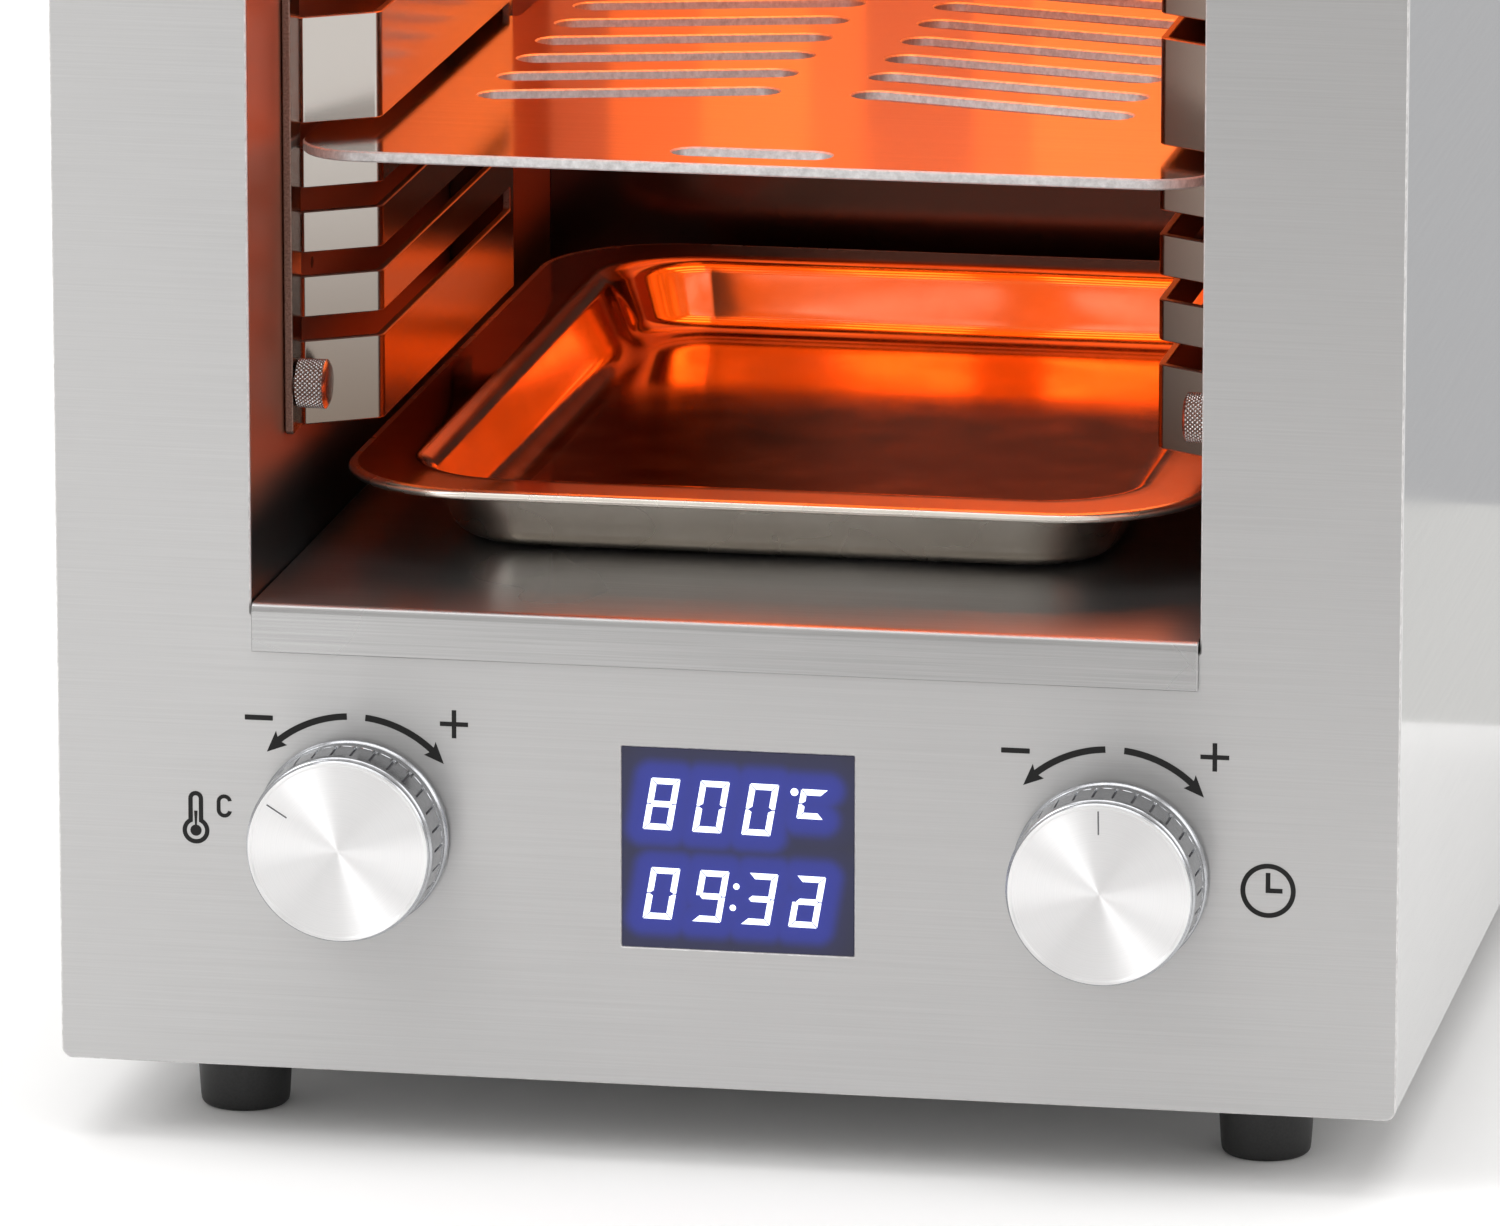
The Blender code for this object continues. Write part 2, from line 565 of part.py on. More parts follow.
def controls():
    """Each knob with its shaft, encoder body and panel nut."""
    face = FRONT - KNOB_DEPTH
    for name, (x, z) in KNOB_CENTRES.items():
        axis = (x, 0.0, z)
        centre = (x, FRONT, z)
        back = FRONT - 0.7
        r = KNOB_RADIUS
        profile = [(0.6, face), (r - 1.6, face), (r - 0.9, face + 0.7), (r - 0.6, face + 1.6),
                   (r - 0.2, face + 2.0), (r - 0.2, back - 2.2), (r, back - 1.8), (r, back),
                   (SHAFT_RADIUS + 6.5, back), (SHAFT_RADIUS + 6.5, back - 3.5),
                   (SHAFT_RADIUS + 0.2, back - 3.5), (SHAFT_RADIUS + 0.2, face + 4.0), (0.6, face + 4.0)]
        ripple = [0, 0, 0, 0, 0.45, 0.45, 0, 0, 0, 0, 0, 0, 0]
        knob = turned(profile, axis, "Y", 2 * KNOB_RIBS, ripple)
        add_object(name + "_knob", knob, ALUMINIUM, centre, smooth=True)

        shaft = [(0.6, face + 4.3), (SHAFT_RADIUS - 0.5, face + 4.3), (SHAFT_RADIUS, face + 4.8),
                 (SHAFT_RADIUS, FRONT + 10.0), (0.6, FRONT + 10.0)]
        rod = turned(shaft, axis, "Y", 16)
        add_object(name + "_shaft", rod, BRIGHT_STEEL, centre, smooth=True)

        square = rectangle(x - 6.5, z - 6.5, x + 6.5, z + 6.5)
        case = extruded(square, "Y", FRONT + PANEL + GAP, FRONT + 12.0)
        body = add_object(name + "_encoder", case, BLACK_PLASTIC)
        bush = turned([(3.7, FRONT - 3.4), (3.7, FRONT + 4.0)], axis, "Y", 16)
        cut(body, add_object(name + "_bush", bush, None), "UNION")
        clear = SHAFT_RADIUS + 0.2
        bore = turned([(clear, FRONT - 6.0), (clear, FRONT + 10.4)], axis, "Y", 16)
        cut(body, add_object(name + "_bore", bore, None))

        hexagon, hole = circle(x, z, 6.4, 6), circle(x, z, 4.0, 16)
        nut = extruded(hexagon, "Y", FRONT - 2.6, FRONT - GAP, [hole])
        add_object(name + "_nut", nut, BRIGHT_STEEL)


def readout():
    """Readout window in the panel, the display module and the boards behind it."""
    x0, x1, z0, z1 = DISPLAY
    window = extruded(rectangle(x0, z0, x1, z1), "Y", FRONT, FRONT + 2.0)
    add_object("display_window", window, DARK_GLASS)
    low = (x0 - 3.0, FRONT + 2.0 + GAP, z0 - 3.0)
    add_object("display_module", block(low, (x1 + 3.0, FRONT + 9.0, z1 + 3.0)), BLACK_PLASTIC)
    y = FRONT + 13.0
    holes = [circle(x, z, 1.7, 8) for x in (-86.0, 86.0) for z in (z0 + 2.0, z1 - 4.0)]
    board = extruded(rectangle(-90.0, z0 - 6.0, 90.0, z1 + 2.0), "Y", y, y + 1.6, holes)
    add_object("control_board", board, BOARD)


def power_parts():
    """Power board, solid-state relay on its heat sink, safety cut-out and mains inlet."""
    base = FOOT_HEIGHT + 2 * SHEET + 2 * GAP
    add_object("power_board", block((35.0, -90.0, base + 6.0), (105.0, 40.0, base + 7.6)), BOARD)
    core = block((48.0, -70.0, base + 7.9), (84.0, -36.0, base + 34.0))
    add_object("transformer", core, BLACK_PLASTIC)
    add_object("relay", block((-92.0, -60.0, base + 18.3), (-47.0, -2.0, base + 41.0)), BLACK_PLASTIC)

    low, high = base + 0.3, base + 18.0
    outline = [(-97.0, low)]
    for i in range(6):
        x = -94.0 + i * 9.0
        outline += [(x, low), (x, high - 4.0), (x + 5.0, high - 4.0), (x + 5.0, low)]
    outline += [(-41.0, low), (-41.0, high), (-97.0, high)]
    add_object("heat_sink", extruded(outline, "Y", -66.0, 4.0), ALUMINIUM)

    cap = [(0.5, 0.0), (8.0, 0.0), (8.0, 6.0), (5.0, 9.0), (0.5, 9.0)]
    centre = (0.0, FRONT + CAVITY_DEPTH + GAP + SHEET + GAP, FLOOR + 60.0)
    add_object("safety_cutout", turned(cap, centre, "Y", 20), BLACK_PLASTIC, smooth=True)

    x0, x1, z0, z1 = INLET
    inlet = add_object("power_inlet", block((x0, REAR - 22.0, z0), (x1, REAR + 1.0, z1)), BLACK_PLASTIC)
    flange = extruded(rounded(x0 - 11.1, z0 - 3.1, x1 + 11.1, z1 + 3.1, 4.0), "Y", REAR, REAR + 3.0)
    cut(inlet, add_object("inlet_flange", flange, None), "UNION")
    mouth = block((x0 + 2.4, REAR - 16.0, z0 + 2.4), (x1 - 2.4, REAR + 4.0, z1 - 2.4))
    cut(inlet, add_object("inlet_mouth", mouth, None))


# ---------------------------------------------------------------- fan

def about_fan(bm, angle):
    """Turn a shape about the Y axis and lift it to the fan's centre."""
    bmesh.ops.rotate(bm, cent=(0, 0, 0), matrix=Matrix.Rotation(angle, 3, "Y"), verts=bm.verts)
    bmesh.ops.translate(bm, vec=(0, 0, FAN_Z), verts=bm.verts)


def cooling_fan():
    """Axial fan behind the back panel: frame, turning impeller, guard outside."""
    centre = (0.0, FAN_REAR - FAN_DEPTH / 2, FAN_Z)
    y0, y1 = FAN_REAR - FAN_DEPTH, FAN_REAR - 2 * GAP
    square = rounded(-FAN_HALF, FAN_Z - FAN_HALF + 2, FAN_HALF, FAN_Z + FAN_HALF - 2, 4.0)
    casing = extruded(square, "Y", y0, y1, [circle(0, FAN_Z, FAN_HALF - 4.0, 40)])
    frame = add_object("fan_frame", casing, BLACK_PLASTIC)
    for turn in (45, 135):
        spoke = extruded(rectangle(3.0 - FAN_HALF, -1.5, FAN_HALF - 3.0, 1.5), "Y", y0 + 0.6, y0 + 2.6)
        about_fan(spoke, math.radians(turn))
        cut(frame, add_object("fan_spoke_" + str(turn), spoke, None), "UNION")
    pad = turned([(9.0, y0), (9.0, y0 + 3.0)], (0.0, 0.0, FAN_Z), "Y", 20)
    cut(frame, add_object("fan_pad", pad, None), "UNION")
    pin = turned([(1.2, y0 + 2.0), (1.2, y1 - 3.0)], (0.0, 0.0, FAN_Z), "Y", 12)
    cut(frame, add_object("fan_pin", pin, None), "UNION")

    hub = [(1.5, y0 + 3.4), (9.0, y0 + 3.4), (9.0, y1 - 1.5), (1.5, y1 - 1.5)]
    ring = turned(hub, (0.0, 0.0, FAN_Z), "Y", 28, closed_ends=False)
    impeller = add_object("fan_impeller", ring, BLACK_PLASTIC, centre, smooth=True)
    for i in range(FAN_BLADES):
        blade = bridged([
            [(-3.5, y0 + 4.0, r), (3.5, y1 - 3.0, r), (4.1, y1 - 2.4, r), (-2.9, y0 + 4.6, r)]
            for r in (8.0, 24.6)])
        about_fan(blade, 2 * math.pi * i / FAN_BLADES)
        cut(impeller, add_object("fan_blade_" + str(i), blade, None, centre), "UNION")

    near, far = REAR + 0.2, REAR + 1.8
    rim = extruded(circle(0, FAN_Z, 30.0, 28), "Y", near, far, [circle(0, FAN_Z, 26.5, 28)])
    guard = add_object("fan_guard", rim, BRIGHT_STEEL)
    hoop = extruded(circle(0, FAN_Z, 17.0, 20), "Y", near, far, [circle(0, FAN_Z, 15.0, 20)])
    cut(guard, add_object("fan_guard_hoop", hoop, None), "UNION")
    for turn in (0, 60, 120):
        bar = extruded(rectangle(-27.5, -1.0, 27.5, 1.0), "Y", REAR + 0.6, REAR + 1.4)
        about_fan(bar, math.radians(turn))
        cut(guard, add_object("fan_guard_bar_" + str(turn), bar, None), "UNION")


for old in list(bpy.data.objects):
    bpy.data.objects.remove(old)

front_panel()
outer_cover()
base_plate()
back_panel()
rear_spacers()
feet()
cavity_walls()
cavity_floor()
cavity_roof()
rack_rails()
thumbscrews()
grill_rack()
drip_tray()
heater()
heat_protection()
temperature_probe()
controls()
readout()
power_parts()
cooling_fan()
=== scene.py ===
"""Looks of the table-top infrared steak grill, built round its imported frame."""

import math

import bmesh
import bpy
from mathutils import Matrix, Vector, noise


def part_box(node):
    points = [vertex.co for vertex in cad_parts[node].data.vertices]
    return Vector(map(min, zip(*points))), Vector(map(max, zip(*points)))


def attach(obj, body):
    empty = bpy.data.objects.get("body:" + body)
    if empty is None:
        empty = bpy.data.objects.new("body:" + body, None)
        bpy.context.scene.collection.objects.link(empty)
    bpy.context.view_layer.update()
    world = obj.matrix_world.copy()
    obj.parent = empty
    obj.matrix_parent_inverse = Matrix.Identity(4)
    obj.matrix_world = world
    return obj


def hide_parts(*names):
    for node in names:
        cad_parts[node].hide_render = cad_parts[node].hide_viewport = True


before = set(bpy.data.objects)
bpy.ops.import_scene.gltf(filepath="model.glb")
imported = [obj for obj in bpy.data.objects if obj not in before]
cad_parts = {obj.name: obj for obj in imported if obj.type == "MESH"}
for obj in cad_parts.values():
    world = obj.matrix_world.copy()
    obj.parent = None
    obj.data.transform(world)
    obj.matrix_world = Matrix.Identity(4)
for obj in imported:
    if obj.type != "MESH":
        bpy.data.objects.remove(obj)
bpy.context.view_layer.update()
MM = 0.001


# ---------------------------------------------------------------- camera and studio
# A long lens a little right of the axis and above it, a white sweep for a floor,
# and soft boxes. Nothing here is part of the appliance.

scene = bpy.context.scene
scene.view_settings.view_transform = "Standard"
lens = bpy.data.cameras.new("camera")
lens.sensor_width = 36.0
lens.lens = 303.4
lens.clip_start = 0.05
lens.clip_end = 30.0
camera = bpy.data.objects.new("camera", lens)
camera.location = (0.402, -2.353, 0.6203)
camera.rotation_euler = (math.radians(90.0 - 13.2), 0.0, math.radians(10.38))
scene.collection.objects.link(camera)
scene.camera = camera

world = bpy.data.worlds.new("studio")
world.use_nodes = True
scene.world = world
sky = world.node_tree.nodes["Background"]
sky.inputs["Color"].default_value = (1.0, 0.98, 0.96, 1.0)
sky.inputs["Strength"].default_value = 0.7


def stage_sheet(name, centre, size, turn=(0.0, 0.0, 0.0)):
    """A flat sheet of the studio, centred at `centre`."""
    bpy.ops.mesh.primitive_plane_add(size=1.0, location=centre, rotation=turn)
    sheet = bpy.context.object
    sheet.name = name
    sheet.scale = (size[0], size[1], 1.0)
    paint = bpy.data.materials.new(name)
    paint.use_nodes = True
    sheet.data.materials.append(paint)
    return sheet, paint.node_tree.nodes["Principled BSDF"]


def reflected_card(name, centre, size, tone, turn=(0.0, 0.0, 0.0)):
    """A card of one tone that only shiny surfaces see."""
    card, shader = stage_sheet(name, centre, size, turn)
    shader.inputs["Base Color"].default_value = (0.0, 0.0, 0.0, 1.0)
    shader.inputs["Specular IOR Level"].default_value = 0.0
    shader.inputs["Emission Color"].default_value = (*tone, 1.0)
    shader.inputs["Emission Strength"].default_value = 1.0
    card.visible_camera = card.visible_diffuse = card.visible_shadow = card.visible_transmission = False


def soft_box(name, place, aim, size, power, colour=(1.0, 1.0, 1.0)):
    """A rectangular area light at `place` that faces `aim`."""
    lamp = bpy.data.lights.new(name, "AREA")
    lamp.shape = "RECTANGLE"
    lamp.size, lamp.size_y = size
    lamp.energy = power
    lamp.color = colour
    holder = bpy.data.objects.new(name, lamp)
    holder.location = place
    holder.rotation_euler = (Vector(aim) - Vector(place)).to_track_quat("-Z", "Y").to_euler()
    scene.collection.objects.link(holder)
    return holder


floor, shader = stage_sheet("floor", (0.0, 0.0, 0.0), (12.0, 12.0))
shader.inputs["Base Color"].default_value = (0.93, 0.93, 0.93, 1.0)
shader.inputs["Roughness"].default_value = 0.9
shader.inputs["Specular IOR Level"].default_value = 0.1
reflected_card("dark_card_front", (0.17, -1.40, 0.004), (0.66, 1.5), (0.11, 0.10, 0.10))
reflected_card("grey_card_right", (0.90, 0.365, 0.75), (1.56, 1.5), (0.53, 0.53, 0.54),
               (math.radians(90.0), 0.0, 0.0))
reflected_card("pale_card_right", (0.31, 0.262, 0.004), (0.38, 0.205), (0.74, 0.735, 0.72))
key_left = soft_box("key_left", (-1.5, -1.4, 1.4), (0.0, -0.1, 0.15), (1.2, 1.2), 20.0)
soft_box("fill_right", (1.8, -0.8, 1.2), (0.0, 0.0, 0.15), (1.0, 1.4), 8.0)
soft_box("top", (0.0, 0.2, 2.2), (0.0, 0.0, 0.0), (2.4, 2.4), 34.0)


def left_out(title, *objects):
    """A light-linking collection for lights that pass these objects by."""
    made = bpy.data.collections.new(title)
    for obj in objects:
        made.objects.link(obj)
    for entry in made.collection_objects:
        entry.light_linking.link_state = "EXCLUDE"
    return made


cool = left_out("unheated", floor)
ORANGE = (1.0, 0.15, 0.008)
AMBER = (1.0, 0.27, 0.03)
glows = (
    ("heater_glow", (0.0, -0.05, 0.304), (0.0, -0.05, 0.0), (0.12, 0.18), 0.45, ORANGE),
    ("under_rack_glow", (0.0, -0.03, 0.176), (0.0, -0.03, 0.0), (0.125, 0.15), 0.09, ORANGE),
    ("wall_strip_glow", (0.03, 0.060, 0.1755), (0.03, 0.09, 0.172), (0.12, 0.004), 0.010, ORANGE),
    ("back_glow_left", (-0.048, 0.089, 0.242), (-0.048, -0.1, 0.242), (0.052, 0.115), 0.0095, ORANGE),
    ("back_core_left", (-0.044, 0.088, 0.232), (-0.044, -0.1, 0.232), (0.022, 0.075), 0.0016, AMBER),
    ("back_glow_right", (0.036, 0.089, 0.242), (0.036, -0.1, 0.242), (0.072, 0.115), 0.012, ORANGE),
    ("back_core_right", (0.030, 0.088, 0.237), (0.030, -0.1, 0.237), (0.036, 0.095), 0.0034, AMBER),
)
for name, place, aim, size, power, colour in glows:
    glow = soft_box(name, place, aim, size, power, colour)
    glow.visible_camera = False
    glow.light_linking.receiver_collection = cool


# ---------------------------------------------------------------- front panel
# One flat sheet of stainless brushed from side to side, with small outer corner radii. The cavity
# opening, the readout window and the shaft holes are laser cut, and every cut edge is deburred.

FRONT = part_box("front_panel")[0].y


def arc(cx, cy, radius, start, end, steps):
    """Points on an arc in degrees, both ends included."""
    turns = [math.radians(start + (end - start) * i / steps) for i in range(steps + 1)]
    return [(cx + radius * math.cos(a), cy + radius * math.sin(a)) for a in turns]


def rounded(x0, y0, x1, y1, radius, steps=6):
    """A rectangle with round corners, counter-clockwise."""
    return (arc(x1 - radius, y1 - radius, radius, 0, 90, steps)
            + arc(x0 + radius, y1 - radius, radius, 90, 180, steps)
            + arc(x0 + radius, y0 + radius, radius, 180, 270, steps)
            + arc(x1 - radius, y0 + radius, radius, 270, 360, steps))


def grown(loop, distance):
    """The loop moved outwards by `distance`, corners mitred."""
    points = [Vector(p) for p in loop]
    area = sum(a.cross(b) for a, b in zip(points, points[1:] + points[:1]))
    side = distance if area > 0 else -distance
    moved = []
    for before, here, after in zip(points[-1:] + points[:-1], points, points[1:] + points[:1]):
        one = (here - before).normalized()
        two = (after - here).normalized()
        normal = (Vector((one.y, -one.x)) + Vector((two.y, -two.x))).normalized()
        moved.append(tuple(here + normal * side / max(normal.dot(Vector((one.y, -one.x))), 0.4)))
    return moved


def plate(outline, holes, low, high, chamfer):
    """A flat plate from depth `low` to `high`, vertices (a, b, depth); its chamfered edges are material 1."""
    bm = bmesh.new()
    rows = []
    for depth, inset in ((low, chamfer), (low + chamfer, 0.0), (high - chamfer, 0.0), (high, chamfer)):
        loops = [grown(outline, -inset)] + [grown(hole, inset) for hole in holes]
        rows.append([[bm.verts.new((a, b, depth)) for a, b in loop] for loop in loops])
    for row, following in zip(rows, rows[1:]):
        for ring, other in zip(row, following):
            for i in range(len(ring)):
                j = (i + 1) % len(ring)
                bm.faces.new((ring[i], ring[j], other[j], other[i])).material_index = 1
    for row in (rows[0], rows[-1]):
        edges = [bm.edges.get((ring[i], ring[(i + 1) % len(ring)])) for ring in row for i in range(len(ring))]
        bmesh.ops.triangle_fill(bm, use_beauty=True, use_dissolve=False, edges=edges)
    bmesh.ops.recalc_face_normals(bm, faces=bm.faces)
    return bm


def turn_to(bm, order):
    """Moves (a, b, depth) vertices to the axes in `order`, such as "XZY" for a = X, b = Z, depth = Y."""
    slots = ["XYZ".index(letter) for letter in order]
    for vert in bm.verts:
        fresh = Vector()
        for value, index in zip(vert.co.copy(), slots):
            fresh[index] = value
        vert.co = fresh
    bmesh.ops.recalc_face_normals(bm, faces=bm.faces)
    return bm


def piece(name, bm, material, body="housing", stands_for=(), smooth=32.0):
    """Makes the finished object: sharp edges by angle, a grain UV, its material and body."""
    mesh = bpy.data.meshes.new(name)
    layer = bm.loops.layers.uv.verify()
    for face in bm.faces:
        normal = face.normal
        flat = max(range(3), key=lambda k: abs(normal[k]))
        across = {0: (1, 2), 1: (0, 2), 2: (0, 1)}[flat]
        for corner in face.loops:
            corner[layer].uv = (corner.vert.co[across[0]], corner.vert.co[across[1]])
    bm.to_mesh(mesh)
    bm.free()
    mesh.shade_smooth()
    mesh.set_sharp_from_angle(angle=math.radians(smooth))
    obj = bpy.data.objects.new(name, mesh)
    scene.collection.objects.link(obj)
    weigh = obj.modifiers.new("flats", "WEIGHTED_NORMAL")
    weigh.weight = 100
    weigh.keep_sharp = True
    flat = bpy.data.meshes.new_from_object(obj.evaluated_get(bpy.context.evaluated_depsgraph_get()))
    obj.modifiers.clear()
    obj.data = flat
    flat.name = name
    bpy.data.meshes.remove(mesh)
    mesh = flat
    for coat in material if isinstance(material, (list, tuple)) else (material, material):
        mesh.materials.append(coat)
    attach(obj, body)
    if stands_for:
        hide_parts(*stands_for)
    return obj


def node_group(name, inputs, outputs):
    """An empty shader group with float, colour and vector sockets; returns it with its two end nodes."""
    group = bpy.data.node_groups.new(name, "ShaderNodeTree")
    kinds = {"f": "NodeSocketFloat", "c": "NodeSocketColor", "v": "NodeSocketVector"}
    for label, kind, value in inputs:
        socket = group.interface.new_socket(label, in_out="INPUT", socket_type=kinds[kind])
        if value is not None:
            socket.default_value = value
    for label, kind in outputs:
        group.interface.new_socket(label, in_out="OUTPUT", socket_type=kinds[kind])
    return group, group.nodes.new("NodeGroupInput"), group.nodes.new("NodeGroupOutput")


def grain_group():
    """Sheet grain from a vector in metres, u along the grain: fine scratches plus a broad cloudy tone."""
    group, start, end = node_group(
        "sheet grain",
        [("Vector", "v", None), ("Along", "f", 18.0), ("Across", "f", 2600.0), ("Clouds", "f", 14.0)],
        [("Scratch", "f"), ("Cloud", "f")])
    nodes, links = group.nodes, group.links
    stretch = nodes.new("ShaderNodeCombineXYZ")
    links.new(start.outputs["Along"], stretch.inputs[0])
    links.new(start.outputs["Across"], stretch.inputs[1])
    links.new(start.outputs["Along"], stretch.inputs[2])
    scaled = nodes.new("ShaderNodeVectorMath")
    scaled.operation = "MULTIPLY"
    links.new(start.outputs["Vector"], scaled.inputs[0])
    links.new(stretch.outputs[0], scaled.inputs[1])
    scratch = nodes.new("ShaderNodeTexNoise")
    scratch.inputs["Scale"].default_value = 1.0
    scratch.inputs["Detail"].default_value = 3.0
    scratch.inputs["Roughness"].default_value = 0.7
    links.new(scaled.outputs[0], scratch.inputs["Vector"])
    cloud = nodes.new("ShaderNodeTexNoise")
    cloud.inputs["Detail"].default_value = 2.0
    links.new(start.outputs["Vector"], cloud.inputs["Vector"])
    links.new(start.outputs["Clouds"], cloud.inputs["Scale"])
    links.new(scratch.outputs["Fac"], end.inputs["Scratch"])
    links.new(cloud.outputs["Fac"], end.inputs["Cloud"])
    return group


GRAIN = grain_group()


def ramp(nodes, links, value, low, high, start=0.0, stop=1.0):
    """Maps a 0 to 1 value onto two colours or two grey levels."""
    node = nodes.new("ShaderNodeValToRGB")
    ends = node.color_ramp.elements
    for end, place, tone in ((ends[0], start, low), (ends[1], stop, high)):
        end.position = place
        end.color = (*tone, 1.0) if isinstance(tone, tuple) else (tone, tone, tone, 1.0)
    links.new(value, node.inputs["Fac"])
    return node.outputs["Color"]


MIDDLE = (0.3, 0.7)               # the part of a noise's range that carries most of its values


def sheet_metal(name, dark, light, rough, metallic=1.0, anisotropic=0.0, along=18.0, across=2600.0,
                relief=0.02, source="UV", clouds=14.0):
    """Brushed or rolled sheet: scratches tint and dent it, clouds vary its gloss within `rough`."""
    made = bpy.data.materials.new(name)
    made.use_nodes = True
    nodes, links = made.node_tree.nodes, made.node_tree.links
    shader = nodes["Principled BSDF"]
    where = nodes.new("ShaderNodeTexCoord")
    grain = nodes.new("ShaderNodeGroup")
    grain.node_tree = GRAIN
    grain.inputs["Along"].default_value = along
    grain.inputs["Across"].default_value = across
    grain.inputs["Clouds"].default_value = clouds
    links.new(where.outputs[source], grain.inputs["Vector"])
    tint = ramp(nodes, links, grain.outputs["Scratch"], dark, light, *MIDDLE)
    links.new(tint, shader.inputs["Base Color"])
    gloss = ramp(nodes, links, grain.outputs["Cloud"], *rough, *MIDDLE)
    links.new(gloss, shader.inputs["Roughness"])
    bump = nodes.new("ShaderNodeBump")
    bump.inputs["Strength"].default_value = relief
    bump.inputs["Distance"].default_value = 0.0002
    links.new(grain.outputs["Scratch"], bump.inputs["Height"])
    links.new(bump.outputs["Normal"], shader.inputs["Normal"])
    shader.inputs["Metallic"].default_value = metallic
    if anisotropic:
        shader.inputs["Anisotropic"].default_value = anisotropic
        shader.inputs["Anisotropic Rotation"].default_value = 0.25
        tangent = nodes.new("ShaderNodeTangent")
        tangent.direction_type = "UV_MAP"
        links.new(tangent.outputs["Tangent"], shader.inputs["Tangent"])
    return made


brushed_front = sheet_metal("brushed_front", (0.53, 0.53, 0.53), (0.58, 0.58, 0.58), (0.38, 0.42),
                            anisotropic=0.85)
cut_edge = sheet_metal("cut_edge", (0.48, 0.47, 0.47), (0.74, 0.73, 0.73), (0.40, 0.50), metallic=0.5,
                       along=700.0, across=2400.0, source="Object", relief=0.08)
SHAFT_HOLE = 4.0 * MM
CUT_CHAMFER = 0.28 * MM

panel_low, panel_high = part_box("front_panel")
window_low, window_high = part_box("display_window")
wall_left, wall_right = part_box("cavity_left_wall")[1].x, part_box("cavity_right_wall")[0].x
floor_low, floor_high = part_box("cavity_floor")
knob_places = {}
for name in ("temperature", "timer"):
    low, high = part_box(name + "_knob")
    knob_places[name] = ((low.x + high.x) / 2, (low.z + high.z) / 2)
guard_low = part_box("heater_guard")[0]
opening_top = guard_low.z - 1.0 * MM

panel_outline = rounded(panel_low.x, panel_low.z, panel_high.x, panel_high.z, 2.0 * MM)
panel_holes = [
    rounded(wall_left, floor_high.z - 2.4 * MM, wall_right, opening_top, 0.5 * MM, 3),
    rounded(window_low.x - 0.05 * MM, window_low.z - 0.05 * MM, window_high.x + 0.05 * MM,
            window_high.z + 0.05 * MM, 0.2 * MM, 3),
]
for x, z in knob_places.values():
    panel_holes.append(arc(x, z, SHAFT_HOLE, 0, 360, 32)[:-1])
panel = plate(panel_outline, panel_holes, panel_low.y, panel_high.y, CUT_CHAMFER)
piece("front_panel_sheet", turn_to(panel, "XZY"), (brushed_front, cut_edge),
      stands_for=["front_panel"])


# ---------------------------------------------------------------- printed signs
# Screen-printed black marks: turning arrows, minus and plus by each knob, a thermometer with a C, a clock.

ink = bpy.data.materials.new("black_ink")
ink.use_nodes = True
nodes, links = ink.node_tree.nodes, ink.node_tree.links
speckle = nodes.new("ShaderNodeTexNoise")
speckle.inputs["Scale"].default_value = 4000.0
where = nodes.new("ShaderNodeTexCoord")
links.new(where.outputs["Object"], speckle.inputs["Vector"])
shader = nodes["Principled BSDF"]
links.new(ramp(nodes, links, speckle.outputs["Fac"], 0.005, 0.014), shader.inputs["Base Color"])
shader.inputs["Roughness"].default_value = 0.6
shader.inputs["Specular IOR Level"].default_value = 0.25

INK_DEPTH = 0.06 * MM


def printed(name, loops):
    """Flat ink shapes on the front face from a list of (outline, holes)."""
    whole = bmesh.new()
    for outline, holes in loops:
        layer = turn_to(plate(outline, holes, FRONT - INK_DEPTH, FRONT - 0.01 * MM, 0.01 * MM), "XZY")
        scrap = bpy.data.meshes.new("scrap")
        layer.to_mesh(scrap)
        layer.free()
        whole.from_mesh(scrap)
        bpy.data.meshes.remove(scrap)
    return piece(name, whole, ink)


def bar(x0, z0, x1, z1, width):
    """A straight stroke between two points."""
    run = Vector((x1 - x0, z1 - z0)).normalized() * width / 2
    return [(x0 + run.y, z0 - run.x), (x1 + run.y, z1 - run.x),
            (x1 - run.y, z1 + run.x), (x0 - run.y, z0 + run.x)]


def turning_arrow(x, z, start, end, width=1.2 * MM, radius=21.6 * MM, head=3.4 * MM):
    """A curved arrow round a knob from angle `start` to its tip at `end`, in degrees."""
    way = math.copysign(1.0, end - start)
    neck = end - way * math.degrees(head / radius)
    outer = arc(x, z, radius + width / 2, start, neck, 16)
    inner = arc(x, z, radius - width / 2, neck, start, 16)
    wide = 1.65 * MM
    barb_out = arc(x, z, radius + wide, neck - way * 1.2, neck, 1)[:1]
    barb_in = arc(x, z, radius - wide, neck - way * 1.2, neck, 1)[:1]
    tip = arc(x, z, radius - 0.1 * MM, end, end, 1)[:1]
    return outer + barb_out + tip + barb_in + inner


# both groups of signs stand at one height, although the knobs do not
SIGN_GROUPS = (("temperature", -67.75 * MM), ("timer", 70.7 * MM))
SIGN_HEIGHT = panel_low.z + 44.7 * MM
for name, x in SIGN_GROUPS:
    z = SIGN_HEIGHT
    minus = rounded(x - 20.0 * MM, z + 20.2 * MM, x - 14.8 * MM, z + 21.15 * MM, 0.12 * MM, 2)
    px, pz, reach, half = x + 18.6 * MM, z + 21.0 * MM, 2.6 * MM, 0.42 * MM
    plus = [(px - reach, pz - half), (px - half, pz - half), (px - half, pz - reach), (px + half, pz - reach),
            (px + half, pz - half), (px + reach, pz - half), (px + reach, pz + half), (px + half, pz + half),
            (px + half, pz + reach), (px - half, pz + reach), (px - half, pz + half), (px - reach, pz + half)]
    printed(name + "_arrows", [
        (turning_arrow(x, z, 93, 138), []), (turning_arrow(x, z, 84, 39), []), (minus, []), (plus, [])])

tx, tz = -97.0 * MM, panel_low.z + 46.3 * MM
bulb, stem, line = 2.5 * MM, 1.38 * MM, 0.82 * MM


